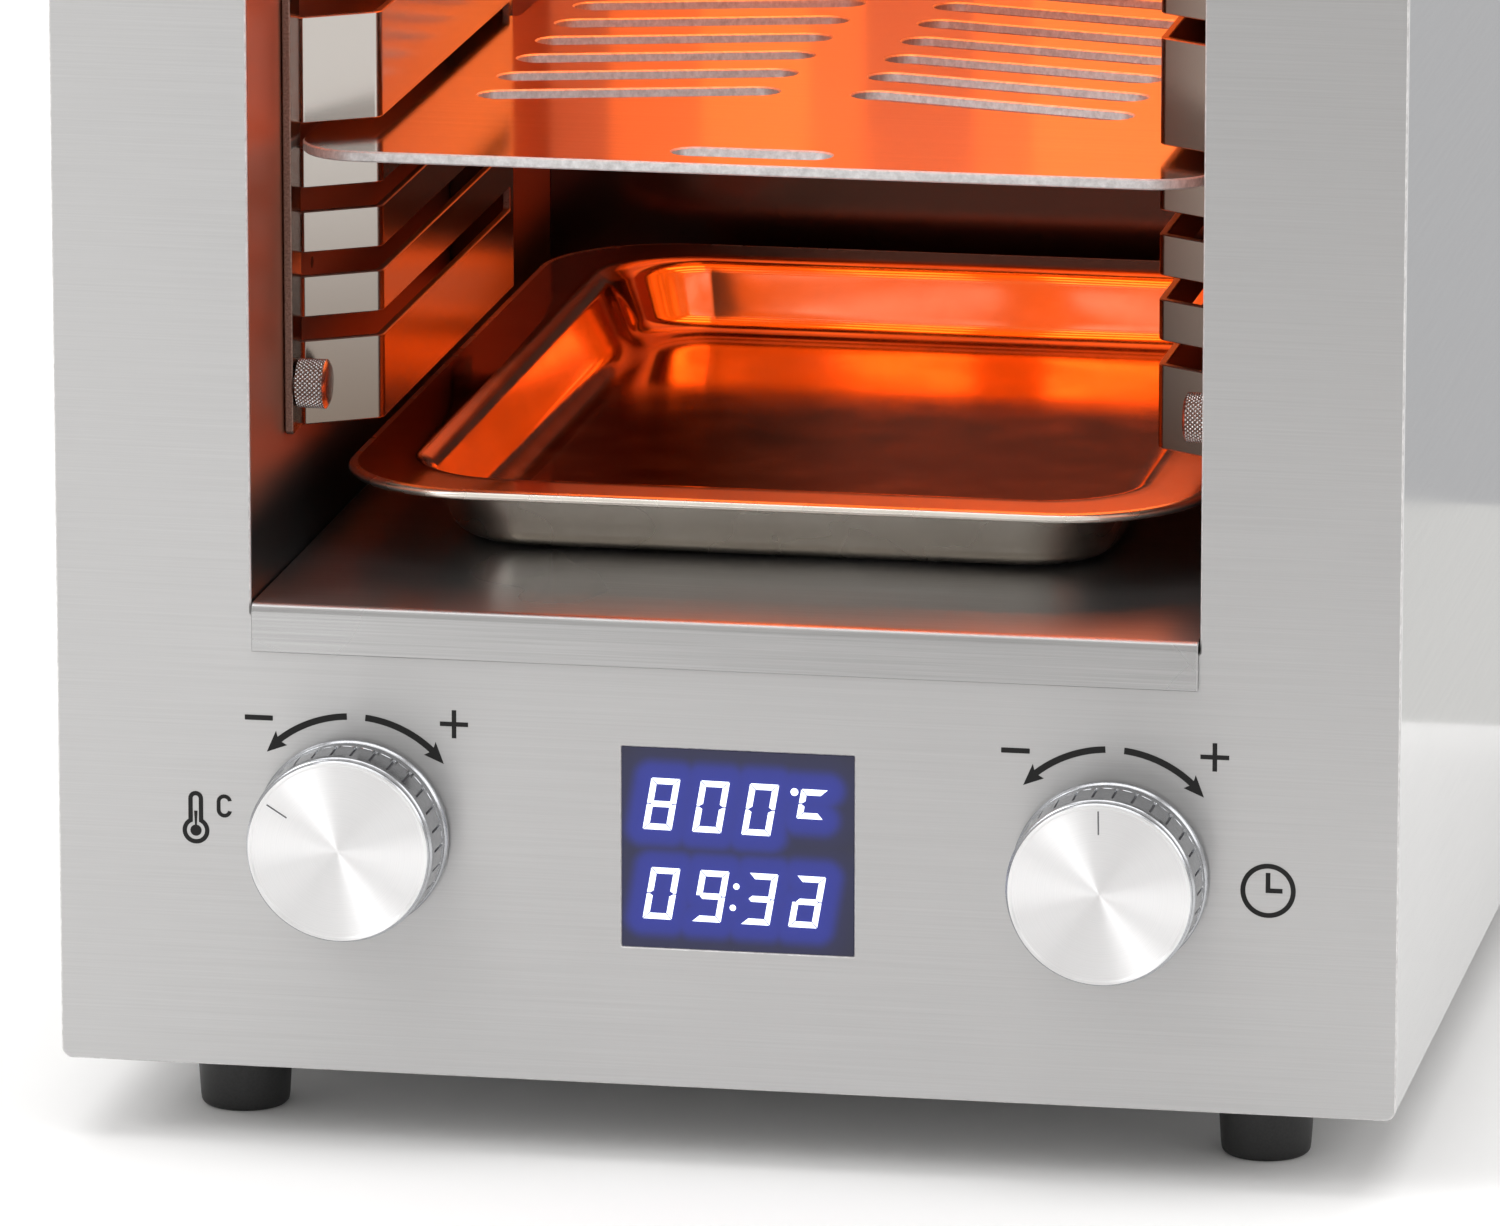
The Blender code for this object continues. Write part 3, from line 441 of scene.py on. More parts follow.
def thermometer(grow):
    """Outline of the bulb and stem, `grow` larger all round."""
    b, s = bulb + grow, stem + grow
    notch = math.degrees(math.asin(s / b))
    base = tz - 2.45 * MM
    return (arc(tx, base, b, 90 + notch, 450 - notch, 28) + arc(tx, tz + 3.5 * MM, s, 0, 180, 10))


core = arc(tx, tz - 2.45 * MM, 1.05 * MM, 100, 440, 18)
core += [(tx + 0.32 * MM, tz + 1.2 * MM), (tx - 0.32 * MM, tz + 1.2 * MM)]
cx, cz = tx + 5.3 * MM, tz + 2.3 * MM
c_rise, c_outer, c_inner = 0.75 * MM, 1.42 * MM, 0.70 * MM
letter_c = (arc(cx, cz + c_rise, c_outer, 10, 180, 10) + arc(cx, cz - c_rise, c_outer, 180, 350, 10)
            + arc(cx, cz - c_rise, c_inner, 350, 180, 10) + arc(cx, cz + c_rise, c_inner, 180, 10, 10))
printed("temperature_sign", [(thermometer(0.0), [thermometer(-line)]), (core, []), (letter_c, [])])

kx, kz = 99.1 * MM, panel_low.z + 41.6 * MM
dial = arc(kx, kz, 5.0 * MM, 0, 360, 48)[:-1]
dial_inner = arc(kx, kz, 4.1 * MM, 0, 360, 48)[:-1]
hands = [(kx - 0.45 * MM, kz - 0.4 * MM), (kx + 2.6 * MM, kz - 0.4 * MM), (kx + 2.6 * MM, kz + 0.45 * MM),
         (kx + 0.4 * MM, kz + 0.45 * MM), (kx + 0.4 * MM, kz + 3.3 * MM), (kx - 0.45 * MM, kz + 3.3 * MM)]
printed("timer_sign", [(dial, [dial_inner]), (hands, [])])


# ---------------------------------------------------------------- outer cover
# Sides and top folded from one sheet with returns under the base; vents are punched in the top.

cover_metal = sheet_metal("cover_metal", (0.60, 0.60, 0.60), (0.65, 0.65, 0.645), (0.07, 0.11), along=30.0, across=900.0,
                          relief=0.002)


def folded(bm, start, heading, runs, order, steps=8):
    """Bends a flat plate (s, width, thickness) along a path.

    `runs` alternates straight lengths and (radius, degrees) bends; `start` and `heading` set the path in the plane of
    the first two axes in `order`, and the plate's width goes along the third.
    """
    spans, s = [], 0.0
    point, angle = Vector(start), math.radians(heading)
    for run in runs:
        if isinstance(run, tuple):
            radius, swing = run[0], math.radians(run[1])
            length = radius * abs(swing)
            spans.append((s, s + length, point.copy(), angle, radius, swing))
            for i in range(steps + 1):
                cut_at = s + length * i / steps
                bmesh.ops.bisect_plane(bm, geom=bm.verts[:] + bm.edges[:] + bm.faces[:], dist=1e-7,
                                       plane_co=(cut_at, 0, 0), plane_no=(1, 0, 0))
            side = math.copysign(1.0, swing)
            centre = point + Vector((-math.sin(angle), math.cos(angle))) * radius * side
            angle += swing
            point = centre - Vector((-math.sin(angle), math.cos(angle))) * radius * side
        else:
            length = run
            spans.append((s, s + length, point.copy(), angle, 0.0, 0.0))
            point = point + Vector((math.cos(angle), math.sin(angle))) * length
        s += length
    axes = ["XYZ".index(letter) for letter in order]
    for vert in bm.verts:
        s, width, offset = vert.co
        span = next((q for q in spans if s <= q[1] + 1e-9), spans[-1])
        first, last, origin, angle, radius, swing = span
        if radius:
            share = (s - first) / (last - first)
            side = math.copysign(1.0, swing)
            centre = origin + Vector((-math.sin(angle), math.cos(angle))) * radius * side
            turned = angle + swing * share
            normal = Vector((-math.sin(turned), math.cos(turned)))
            spot = centre - normal * (radius * side) + normal * offset
        else:
            normal = Vector((-math.sin(angle), math.cos(angle)))
            spot = origin + Vector((math.cos(angle), math.sin(angle))) * (s - first) + normal * offset
        fresh = Vector()
        fresh[axes[0]], fresh[axes[1]], fresh[axes[2]] = spot.x, spot.y, width
        vert.co = fresh
    bmesh.ops.recalc_face_normals(bm, faces=bm.faces)
    return bm


def run_length(runs):
    return sum(run[0] * math.radians(abs(run[1])) if isinstance(run, tuple) else run for run in runs)


def slot_loop(cx, cy, length, width, tilt=0.0, steps=8):
    """A slot with round ends; `tilt` in radians."""
    half = (length - width) / 2
    loop = arc(half, 0, width / 2, -90, 90, steps) + arc(-half, 0, width / 2, 90, 270, steps)
    c, s = math.cos(tilt), math.sin(tilt)
    return [(cx + x * c - y * s, cy + x * s + y * c) for x, y in loop]


cover_low, cover_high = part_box("outer_cover")
SHEET = 1.0 * MM
bend = 1.6 * MM
side_run = cover_high.z - cover_low.z - SHEET - 2 * bend
top_run = cover_high.x - cover_low.x - SHEET - 2 * bend
return_run = 14.0 * MM - bend
fold = (bend, -90)
cover_runs = [return_run, fold, side_run, fold, top_run, fold, side_run, fold, return_run]
VENT_LONG, VENT_WIDE, VENT_COUNT, VENT_PITCH = 26.0 * MM, 4.0 * MM, 11, 14.0 * MM
VENT_PLACE = 132.0 * MM           # behind the middle of the cover
cover_length = run_length(cover_runs)
vents = [slot_loop(cover_length / 2 + (i - VENT_COUNT // 2) * VENT_PITCH, VENT_PLACE, VENT_LONG, VENT_WIDE,
                   math.pi / 2) for i in range(VENT_COUNT)]
flat = plate([(0, cover_low.y), (cover_length, cover_low.y), (cover_length, cover_high.y), (0, cover_high.y)],
             vents, -SHEET / 2, SHEET / 2, 0.2 * MM)
cover = folded(flat, (cover_low.x + SHEET / 2 + 14.0 * MM, cover_low.z + SHEET / 2), 180.0, cover_runs, "XZY")
piece("outer_cover_sheet", cover, cover_metal, stands_for=["outer_cover"])


# ---------------------------------------------------------------- cavity
# Bright rolled sheets, lightly tinted by heat; lower parts of the walls are darkened as painted shade. The floor
# sheet folds down over the front edge as a sill.

cavity_metal = sheet_metal("cavity_metal", (0.42, 0.37, 0.34), (0.50, 0.45, 0.42), (0.12, 0.20), along=60.0,
                           across=700.0, source="Object", relief=0.006)
floor_metal = sheet_metal("floor_metal", (0.40, 0.40, 0.40), (0.50, 0.50, 0.50), (0.26, 0.36),
                          anisotropic=0.5)


def height_shaded(name, start, stop, low, high):
    """Cavity sheet whose colour changes with height as painted shade; `low` and `high` give colour, roughness and
    metallic.
    """
    made = cavity_metal.copy()
    made.name = name
    nodes, links = made.node_tree.nodes, made.node_tree.links
    shader = nodes["Principled BSDF"]
    place = nodes.new("ShaderNodeSeparateXYZ")
    links.new(nodes["Texture Coordinate"].outputs["Object"], place.inputs[0])
    scale = nodes.new("ShaderNodeMapRange")
    scale.interpolation_type = "SMOOTHSTEP"
    scale.inputs["From Min"].default_value = start
    scale.inputs["From Max"].default_value = stop
    links.new(place.outputs["Z"], scale.inputs["Value"])
    for label, one, two in zip(("Base Color", "Roughness", "Metallic"), low, high):
        links.new(ramp(nodes, links, scale.outputs["Result"], one, two), shader.inputs[label])
    return made


# back wall: dark below the rack as painted shade of the rack, with a pale warm sheet above it that the heater lamps
# light
back_wall_shade = height_shaded("scorched_metal", 0.150, 0.185, ((0.10, 0.06, 0.05), 0.18, 1.0),
                   ((0.80, 0.62, 0.50), 0.55, 0.25))
# side walls: darker low down as painted shade; their orange tint is painted heater glow
shade_toned = height_shaded("browned_metal", 0.112, 0.126, ((0.10, 0.10, 0.10), 0.30, 0.9),
                  ((0.42, 0.17, 0.11), 0.42, 0.7))
coats = {"cavity_back_wall": back_wall_shade, "cavity_left_wall": shade_toned, "cavity_right_wall": shade_toned,
         "cavity_roof": cavity_metal, "heat_shield": cavity_metal}
for name, coat in coats.items():
    for material_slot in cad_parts[name].material_slots:
        material_slot.material = coat

thin = 0.8 * MM
sill_bend = 1.3 * MM
sill_runs = [floor_high.z - floor_low.z - thin / 2 - sill_bend, (sill_bend, -90),
             floor_high.y - floor_low.y - thin / 2 - sill_bend]
sill_width = run_length(sill_runs)
flat = plate([(0, floor_low.x), (sill_width, floor_low.x), (sill_width, floor_high.x), (0, floor_high.x)],
             [], -thin / 2, thin / 2, 0.15 * MM)
sill = folded(flat, (floor_low.y + thin / 2, floor_low.z), 90.0, sill_runs, "YZX")
piece("cavity_floor_sheet", sill, floor_metal, stands_for=["cavity_floor"])


# ---------------------------------------------------------------- rack rails
# Top-hat brackets in 1.5 mm stainless: a lip on the cavity side, a slanting flange, a slotted inner wall.
# Both are one steel. The darker right bracket is a painted-shade copy, and both rails darken towards the bottom as
# painted shade, not a second alloy.

# both rails are darkened low down as painted shade; the right one also gets a shaded copy of the coat
RAIL_SHADE_HEIGHTS = (0.118, 0.198)        # heights between which both rails go from brown to pale
rail_metal = height_shaded("rail_metal", *RAIL_SHADE_HEIGHTS, ((0.19, 0.15, 0.12), 0.22, 1.0), ((0.48, 0.45, 0.42), 0.17, 1.0))
rail_browned = height_shaded("rail_browned", *RAIL_SHADE_HEIGHTS, ((0.15, 0.11, 0.09), 0.22, 1.0),
                       ((0.24, 0.19, 0.16), 0.17, 1.0))
# dark coat for the rails' cut edges, also laid in the thumbscrew knurl grooves as painted shade
rail_edge = sheet_metal("rail_edge", (0.16, 0.10, 0.08), (0.34, 0.24, 0.20), (0.35, 0.50), along=2400.0,
                        across=2400.0, source="Object", relief=0.15)
RAIL = 1.5 * MM
rail_bend = 1.9 * MM
slant = 8.6 * MM
slot_steps = (0, 1, 2, 3, 5, 6, 7, 8, 10, 11)
slot_pitch, slot_tall = 12.0 * MM, 4.4 * MM
face_front, face_rear = 46.75 * MM, 167.25 * MM      # ends of the inner wall, behind the front face
slot_rear = 163.5 * MM
thumb_depth, thumb_heights = 32.4 * MM, (120.4 * MM, 274.5 * MM)
lit_rails = bpy.data.collections.new("lit rails")
rail_fill = soft_box("rail_fill", (0.62, -1.15, 0.42), (-0.07, -0.14, 0.22), (0.30, 0.45), 1.1,
                     (1.0, 0.94, 0.88))
rail_fill.light_linking.receiver_collection = lit_rails
slot_first = panel_low.z + 127.0 * MM
for side, label in ((-1, "left"), (1, "right")):
    low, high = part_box("rack_rail_" + label)
    wall = max(abs(low.x), abs(high.x)) - RAIL / 2
    face = min(abs(low.x), abs(high.x)) + RAIL / 2
    lean = math.atan2(slant, wall - face)
    swing = math.pi / 2 - lean
    tangent, bent = rail_bend * math.tan(swing / 2), rail_bend * swing
    hat = math.hypot(wall - face, slant) - 2 * tangent
    lip = FRONT + face_front - slant - low.y - tangent
    inner = face_rear - face_front - 2 * tangent
    tail = high.y - (FRONT + face_rear + slant) - tangent
    turn = -math.degrees(swing) * side
    # the path starts at the lip's front edge and runs back, inwards, back, outwards, back
    out, back_in = (rail_bend, -turn), (rail_bend, turn)
    runs = [lip, out, hat, back_in, inner, back_in, hat, out, tail]
    length = run_length(runs)
    begin = lip - 0.4 * MM
    stop = lip + 2 * bent + hat + slot_rear - (face_front + tangent)
    holes = []
    for step in slot_steps:
        z = slot_first + step * slot_pitch
        holes.append(rounded(begin, z, stop, z + slot_tall, 0.5 * MM, 3))
    for height in thumb_heights:
        holes.append(arc(FRONT + thumb_depth - low.y, panel_low.z + height, 2.3 * MM, 0, 360, 20)[:-1])
    flat = plate(rounded(0, low.z, length, high.z, 1.0 * MM, 3), holes, -RAIL / 2, RAIL / 2, 0.2 * MM)
    bracket = folded(flat, (side * wall, low.y), 90.0, runs, "XYZ")
    coat = rail_metal if side < 0 else rail_browned
    rail = piece("rack_rail_sheet_" + label, bracket, (coat, rail_edge),
                 stands_for=["rack_rail_" + label])
    if side < 0:
        lit_rails.objects.link(rail)
    else:
        key_left.light_linking.receiver_collection = left_out("shaded from the key", rail)


# ---------------------------------------------------------------- thumbscrews
# Turned steel heads with a diamond knurl and a chamfered face, screwed through the rail lips.

screw_metal = sheet_metal("screw_metal", (0.56, 0.56, 0.56), (0.68, 0.68, 0.68), (0.20, 0.28), along=400.0,
                          across=400.0, source="Object")


def lathe(profile, centre, axis, steps, shape=None):
    """A closed turned solid from (radius, distance) pairs.

    `shape(radius, distance, angle)` gives the cut radius there.
    """
    bm = bmesh.new()
    rows = []
    for radius, along in profile:
        row = []
        for i in range(steps):
            angle = 2 * math.pi * i / steps
            r = shape(radius, along, angle) if shape else radius
            u, v = r * math.cos(angle), r * math.sin(angle)
            spot = {"X": (along, u, v), "Y": (u, along, v), "Z": (u, v, along)}[axis]
            row.append(bm.verts.new(Vector(centre) + Vector(spot)))
        rows.append(row)
    for row, following in zip(rows, rows[1:]):
        for i in range(steps):
            j = (i + 1) % steps
            bm.faces.new((row[i], row[j], following[j], following[i]))
    bm.faces.new(rows[0][::-1])
    bm.faces.new(rows[-1])
    bmesh.ops.recalc_face_normals(bm, faces=bm.faces)
    return bm


KNURLS, KNURL_PITCH, KNURL_DEPTH = 16, 0.28 * MM, 0.38 * MM
head, thread = 4.55 * MM, 1.7 * MM
for side, label in ((-1, "left"), (1, "right")):
    for level in ("lower", "upper"):
        node = "thumbscrew_" + label + "_" + level
        low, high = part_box(node)
        tip = high.x if side < 0 else low.x
        centre = (0.0, (low.y + high.y) / 2, (low.z + high.z) / 2)
        rows = 40
        lands = [(head, 5.5 * MM - 5.0 * MM * i / rows) for i in range(rows + 1)]
        outline = [(0.3 * MM, 6.1 * MM), (3.2 * MM, 6.1 * MM), (3.7 * MM, 6.0 * MM), (head - 0.15 * MM, 5.6 * MM)]
        outline += lands
        outline += [(head - 0.3 * MM, 0.3 * MM), (thread, 0.3 * MM), (thread, -7.3 * MM), (0.3 * MM, -7.3 * MM)]
        seat = abs(tip) + 6.3 * MM
        profile = [(r, -side * w + side * seat) for r, w in outline]

        def knurl(radius, along, angle, seat=side * seat, side=side):
            """Two crossing sets of grooves make the diamonds."""
            depth = abs(seat - along)
            if radius != head or depth < 0.5 * MM or depth > 5.45 * MM:
                return radius
            one = math.sin(angle * KNURLS + depth / KNURL_PITCH)
            two = math.sin(angle * KNURLS - depth / KNURL_PITCH)
            return radius - KNURL_DEPTH * (1.0 - min(abs(one), abs(two)) ** 0.8)

        turned = lathe(profile, centre, "X", 264, knurl)
        # the knurl groove bottoms take the dark edge coat as painted shade
        for face in turned.faces:
            spot = face.calc_center_median() - Vector(centre)
            face.material_index = int(head - 0.40 * MM < math.hypot(spot.y, spot.z) < head - 0.21 * MM)
        piece("knurled_screw_" + label + "_" + level, turned, (screw_metal, rail_edge),
              body="screw_" + label + "_" + level, stands_for=[node], smooth=50.0)


# ---------------------------------------------------------------- grill rack
# Laser-cut 2 mm stainless with chevron drip slots and a slot near the front for the lifting tool.

rack_metal = sheet_metal("rack_metal", (0.58, 0.57, 0.55), (0.68, 0.67, 0.66), (0.11, 0.17), along=12.0,
                         across=900.0, relief=0.01)
rack_low, rack_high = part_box("grill_rack")
CHEVRON_ROWS, CHEVRON_FIRST, CHEVRON_PITCH = 8, 89.2 * MM, 18.3 * MM
CHEVRON_LONG, CHEVRON_WIDE, CHEVRON_TILT = 56.0 * MM, 9.0 * MM, math.radians(14.5)
shoulder = FRONT + 162.0 * MM
neck, corner = 69.5 * MM, 12.0 * MM
half = rack_high.x
rack_outline = (arc(half - corner, rack_low.y + corner, corner, 270, 360, 12)
                + arc(half - 4 * MM, shoulder - 4 * MM, 4 * MM, 0, 90, 6) + [(neck, shoulder)]
                + arc(neck - corner, rack_high.y - corner, corner, 0, 90, 12)
                + arc(corner - neck, rack_high.y - corner, corner, 90, 180, 12) + [(-neck, shoulder)]
                + arc(4 * MM - half, shoulder - 4 * MM, 4 * MM, 90, 180, 6)
                + arc(corner - half, rack_low.y + corner, corner, 180, 270, 12))
rack_slots = [slot_loop(-1.2 * MM, rack_low.y + 11.0 * MM, 29.5 * MM, 8.4 * MM)]
for row in range(CHEVRON_ROWS):
    y = FRONT + CHEVRON_FIRST + row * CHEVRON_PITCH
    for side in (-1, 1):
        rack_slots.append(slot_loop(side * 34.0 * MM, y, CHEVRON_LONG, CHEVRON_WIDE, -side * CHEVRON_TILT))
grid = plate(rack_outline, rack_slots, rack_low.z, rack_high.z, 0.3 * MM)
rack = piece("grill_rack_plate", turn_to(grid, "XYZ"), (rack_metal, cut_edge), body="rack",
             stands_for=["grill_rack"])
lit_rack = bpy.data.collections.new("lit rack")
lit_rack.objects.link(rack)
rack_key = soft_box("rack_key", (-0.95, -1.25, 0.58), (0.03, -0.08, 0.18), (0.25, 0.25), 0.9)
rack_key.light_linking.receiver_collection = lit_rack


# ---------------------------------------------------------------- drip tray
# Deep-drawn polished steel with a broad rim whose edge is rolled under.

tray_metal = sheet_metal("tray_metal", (0.88, 0.82, 0.74), (0.97, 0.91, 0.83), (0.24, 0.31), along=80.0,
                         across=80.0, relief=0.003, source="Object", clouds=60.0)
# the inner pan's orange-brown tint is painted reflection of the heater's glow
tray_inside = sheet_metal("tray_inside", (0.50, 0.31, 0.20), (0.58, 0.37, 0.25), (0.09, 0.15), along=80.0,
                          across=80.0, relief=0.003, source="Object", clouds=60.0)
tray_low, tray_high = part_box("drip_tray")
rim_z, base_z = tray_high.z, tray_low.z


def tray_level(inset, z, radius, steps=16):
    loop = rounded(tray_low.x + inset, tray_low.y + inset, tray_high.x - inset, tray_high.y - inset,
                   radius, steps)
    return [(x, y, z) for x, y in loop]


def curve_between(start, end, bulge, steps):
    """Points of a quarter-like curve through the control point `bulge`."""
    points = []
    for i in range(steps + 1):
        t = i / steps
        points.append(tuple(a * (1 - t) ** 2 + 2 * c * t * (1 - t) + b * t * t
                            for a, b, c in zip(start, end, bulge)))
    return points


t = 0.8 * MM
rim = 12.0 * MM
outer = curve_between((rim + 12.0 * MM, base_z), (rim + 5.2 * MM, base_z + 5.0 * MM),
                      (rim + 6.4 * MM, base_z), 7)
outer += curve_between((rim + 2.6 * MM, rim_z - 5.0 * MM), (rim - 1.4 * MM, rim_z - t),
                       (rim + 1.6 * MM, rim_z - t), 6)
bead = [(0.8 * MM + 0.8 * MM * math.cos(a), rim_z - 0.9 * MM + 0.85 * MM * math.sin(a))
        for a in [math.radians(-20 - 25 * i) for i in range(11)]]
outer += [(2.4 * MM, rim_z - t)] + bead
inner = [(1.6 * MM, rim_z - 0.02 * MM), (rim - 3.0 * MM, rim_z)]
inner += curve_between((rim - 1.0 * MM, rim_z), (rim + 3.6 * MM, rim_z - 4.2 * MM),
                       (rim + 2.4 * MM, rim_z), 6)
inner += curve_between((rim + 6.0 * MM, base_z + 5.4 * MM), (rim + 13.0 * MM, base_z + t),
                       (rim + 7.2 * MM, base_z + t), 7)
bm = bmesh.new()
rows = []
for inset, z in outer + inner:
    radius = max(27.0 * MM - inset * 0.62, 8.0 * MM)
    rows.append([bm.verts.new(p) for p in tray_level(inset, z, radius)])
for level, (row, following) in enumerate(zip(rows, rows[1:])):
    for i in range(len(row)):
        j = (i + 1) % len(row)
        bm.faces.new((row[i], row[j], following[j], following[i])).material_index = int(level >= len(outer))
bm.faces.new(rows[0][::-1])
bm.faces.new(rows[-1]).material_index = 1
bmesh.ops.recalc_face_normals(bm, faces=bm.faces)
piece("drip_tray_pan", bm, (tray_metal, tray_inside), body="tray", stands_for=["drip_tray"],
      smooth=60.0)


# ---------------------------------------------------------------- knobs
# Solid aluminium: a spun face inside a fine lip, a plain ring, engraved grip lines, and a plain skirt.

def spun_metal():
    """Face-turned aluminium: fine rings whose highlights fan out from the centre."""
    made = bpy.data.materials.new("spun_aluminium")
    made.use_nodes = True
    nodes, links = made.node_tree.nodes, made.node_tree.links
    shader = nodes["Principled BSDF"]
    where = nodes.new("ShaderNodeUVMap")
    grain = nodes.new("ShaderNodeGroup")
    grain.node_tree = GRAIN
    grain.inputs["Along"].default_value = 1.0
    grain.inputs["Across"].default_value = 5200.0
    links.new(where.outputs["UV"], grain.inputs["Vector"])
    scratch = grain.outputs["Scratch"]
    links.new(ramp(nodes, links, scratch, (0.86, 0.865, 0.87), (0.95, 0.95, 0.955), *MIDDLE),
              shader.inputs["Base Color"])
    links.new(ramp(nodes, links, scratch, 0.42, 0.50, *MIDDLE), shader.inputs["Roughness"])
    tangent = nodes.new("ShaderNodeTangent")
    tangent.direction_type = "UV_MAP"
    links.new(tangent.outputs["Tangent"], shader.inputs["Tangent"])
    shader.inputs["Metallic"].default_value = 1.0
    shader.inputs["Anisotropic"].default_value = 0.95
    shader.inputs["Anisotropic Rotation"].default_value = 0.25
    return made


knob_metal = spun_metal()
# the knob's sides are a darker copy of the face's aluminium: painted shade
knob_side = sheet_metal("knob_side", (0.40, 0.41, 0.43), (0.50, 0.51, 0.53), (0.18, 0.24), along=900.0,
                        across=900.0, source="Object", relief=0.01)
# one dark coat: the pointer's ink, and painted shade in the knob's grooves
pointer_ink_and_groove_shade = bpy.data.materials.new("engraved_mark")
pointer_ink_and_groove_shade.use_nodes = True
pointer_ink_and_groove_shade.node_tree.nodes["Principled BSDF"].inputs["Base Color"].default_value = (0.10, 0.10, 0.11, 1.0)
pointer_ink_and_groove_shade.node_tree.nodes["Principled BSDF"].inputs["Roughness"].default_value = 0.5


def polar_uv(obj, x, z):
    """U runs round the knob and V outwards plus back, so grain follows the lathe's cut."""
    layer = obj.data.uv_layers.active.data
    for polygon in obj.data.polygons:
        spin = [obj.data.vertices[i].co for i in polygon.vertices]
        middle = sum(spin, Vector()) / len(spin)
        base = math.atan2(middle.z - z, middle.x - x)
        for index in polygon.loop_indices:
            co = obj.data.vertices[obj.data.loops[index].vertex_index].co
            turn = math.atan2(co.z - z, co.x - x)
            turn = base + math.remainder(turn - base, 2 * math.pi)
            radius = math.hypot(co.x - x, co.z - z)
            layer[index].uv = (turn * 0.017, radius + (co.y - FRONT))


# (radius, distance behind the face) in millimetres: spun face, lip, groove, plain ring, grip, skirt
KNOB_RINGS = [(0.02, 0.25)] + [(q, 0.25) for q in (2, 4, 6, 8, 10, 12, 14, 15.5)] + [
    (15.8, 0.22), (16.0, 0.06), (16.2, 0.0), (16.5, 0.04), (16.75, 0.3), (16.8, 0.7), (16.6, 0.95),
    (16.65, 1.2), (16.9, 1.35), (17.1, 1.6), (17.2, 2.9), (17.2, 3.0), (17.2, 3.02), (17.25, 5.0),
    (17.3, 7.0), (17.35, 9.4), (17.35, 9.5), (17.4, 11.2), (17.2, 11.4), (17.5, 11.6)]
GRIPS = 30
POINTERS = (("temperature", 148.0), ("timer", 91.0))      # degrees from X, as the knobs stand
for name, pointer in POINTERS:
    low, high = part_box(name + "_knob")
    x, z = knob_places[name]
    face, back = low.y, high.y
    r = (high.x - low.x) / 2
    rings = [(q * MM, face + w * MM) for q, w in KNOB_RINGS]
    rings += [(r, face + 12.0 * MM), (r, back - 0.3 * MM), (17.4 * MM, back), (9.5 * MM, back),
              (9.5 * MM, back - 3.5 * MM), (3.3 * MM, back - 3.5 * MM)]

    def grip(radius, along, angle, face=face):
        """Thirty engraved lines along the side, between the plain ring and the skirt."""
        if not 3.01 * MM < along - face < 9.45 * MM:
            return radius
        phase = (angle / (2 * math.pi) * GRIPS) % 1.0
        facet = 1.0 / math.cos((phase - 0.5) * 2 * math.pi / GRIPS) * math.cos(math.pi / GRIPS)
        groove = 0.42 * MM if min(phase, 1.0 - phase) < 0.035 else 0.0
        return radius * facet - groove

    turned = lathe(rings, (x, 0.0, z), "Y", 900, grip)
    for facet in turned.faces:
        spot = facet.calc_center_median()
        reach, depth = math.hypot(spot.x - x, spot.z - z), spot.y - face
        if reach > 16.6 * MM:
            facet.material_index = 1
        # the grip grooves and the groove behind the lip are coloured dark as painted shade
        engraved = 3.0 * MM < depth < 9.45 * MM and reach < 17.05 * MM
        if engraved or 0.75 * MM < depth < 1.25 * MM and reach > 16.5 * MM:
            facet.material_index = 2
    knob = piece(name + "_knob_turned", turned, (knob_metal, knob_side, pointer_ink_and_groove_shade),
                 body=name + "_control", stands_for=[name + "_knob"], smooth=25.0)
    cool.objects.link(knob)
    cool.collection_objects[-1].light_linking.link_state = "EXCLUDE"
    polar_uv(knob, x, z)
    a = math.radians(pointer)
    near, far = 11.0 * MM, 15.3 * MM
    stroke = bar(x + near * math.cos(a), z + near * math.sin(a), x + far * math.cos(a), z + far * math.sin(a),
                 0.26 * MM)
    line = plate(stroke, [], face + 0.19 * MM, face + 0.24 * MM, 0.01 * MM)
    piece(name + "_pointer", turn_to(line, "XZY"), pointer_ink_and_groove_shade, body=name + "_control")


# ---------------------------------------------------------------- readout
# A dark flush window. Seven-segment figures shine through it in cold white, and blue light spills round them.

figure_white = bpy.data.materials.new("figure_white")
figure_white.use_nodes = True
shader = figure_white.node_tree.nodes["Principled BSDF"]
shader.inputs["Base Color"].default_value = (0.6, 0.66, 0.9, 1.0)
shader.inputs["Emission Color"].default_value = (0.86, 0.93, 1.0, 1.0)
shader.inputs["Emission Strength"].default_value = 1.3

DIGIT_WIDE, DIGIT_HIGH, STROKE, LEAN = 5.3 * MM, 9.6 * MM, 1.12 * MM, math.tan(math.radians(9.0))
LIT = {"0": "abcdef", "3": "abcdg", "8": "abcdefg", "9": "abcdfg", "C": "adef", "change": "abcdeg"}
MODULE_TILT = math.radians(-0.8)


def segments(wide, high):
    """Outline of each of the seven segments, from the figure's lower left corner."""
    g, t, w, h, m = 0.10 * MM, STROKE, wide, high, high / 2
    top = [(g, h), (t + g, h - t), (w - t - g, h - t), (w - g, h)]
    upper = [(0, h - g), (0, m + g), (0.45 * t, m + g), (t, m + 0.35 * t + g), (t, h - t - g)]
    middle = [(t / 2 + g, m), (t + g, m - t / 2), (w - t - g, m - t / 2), (w - t / 2 - g, m),
              (w - t - g, m + t / 2), (t + g, m + t / 2)]
    return {
        "a": top, "g": middle, "f": upper,
        "d": [(x, h - z) for x, z in top[::-1]],
        "b": [(w - x, z) for x, z in upper[::-1]],
        "e": [(x, h - z) for x, z in upper[::-1]],
        "c": [(w - x, h - z) for x, z in upper],
    }


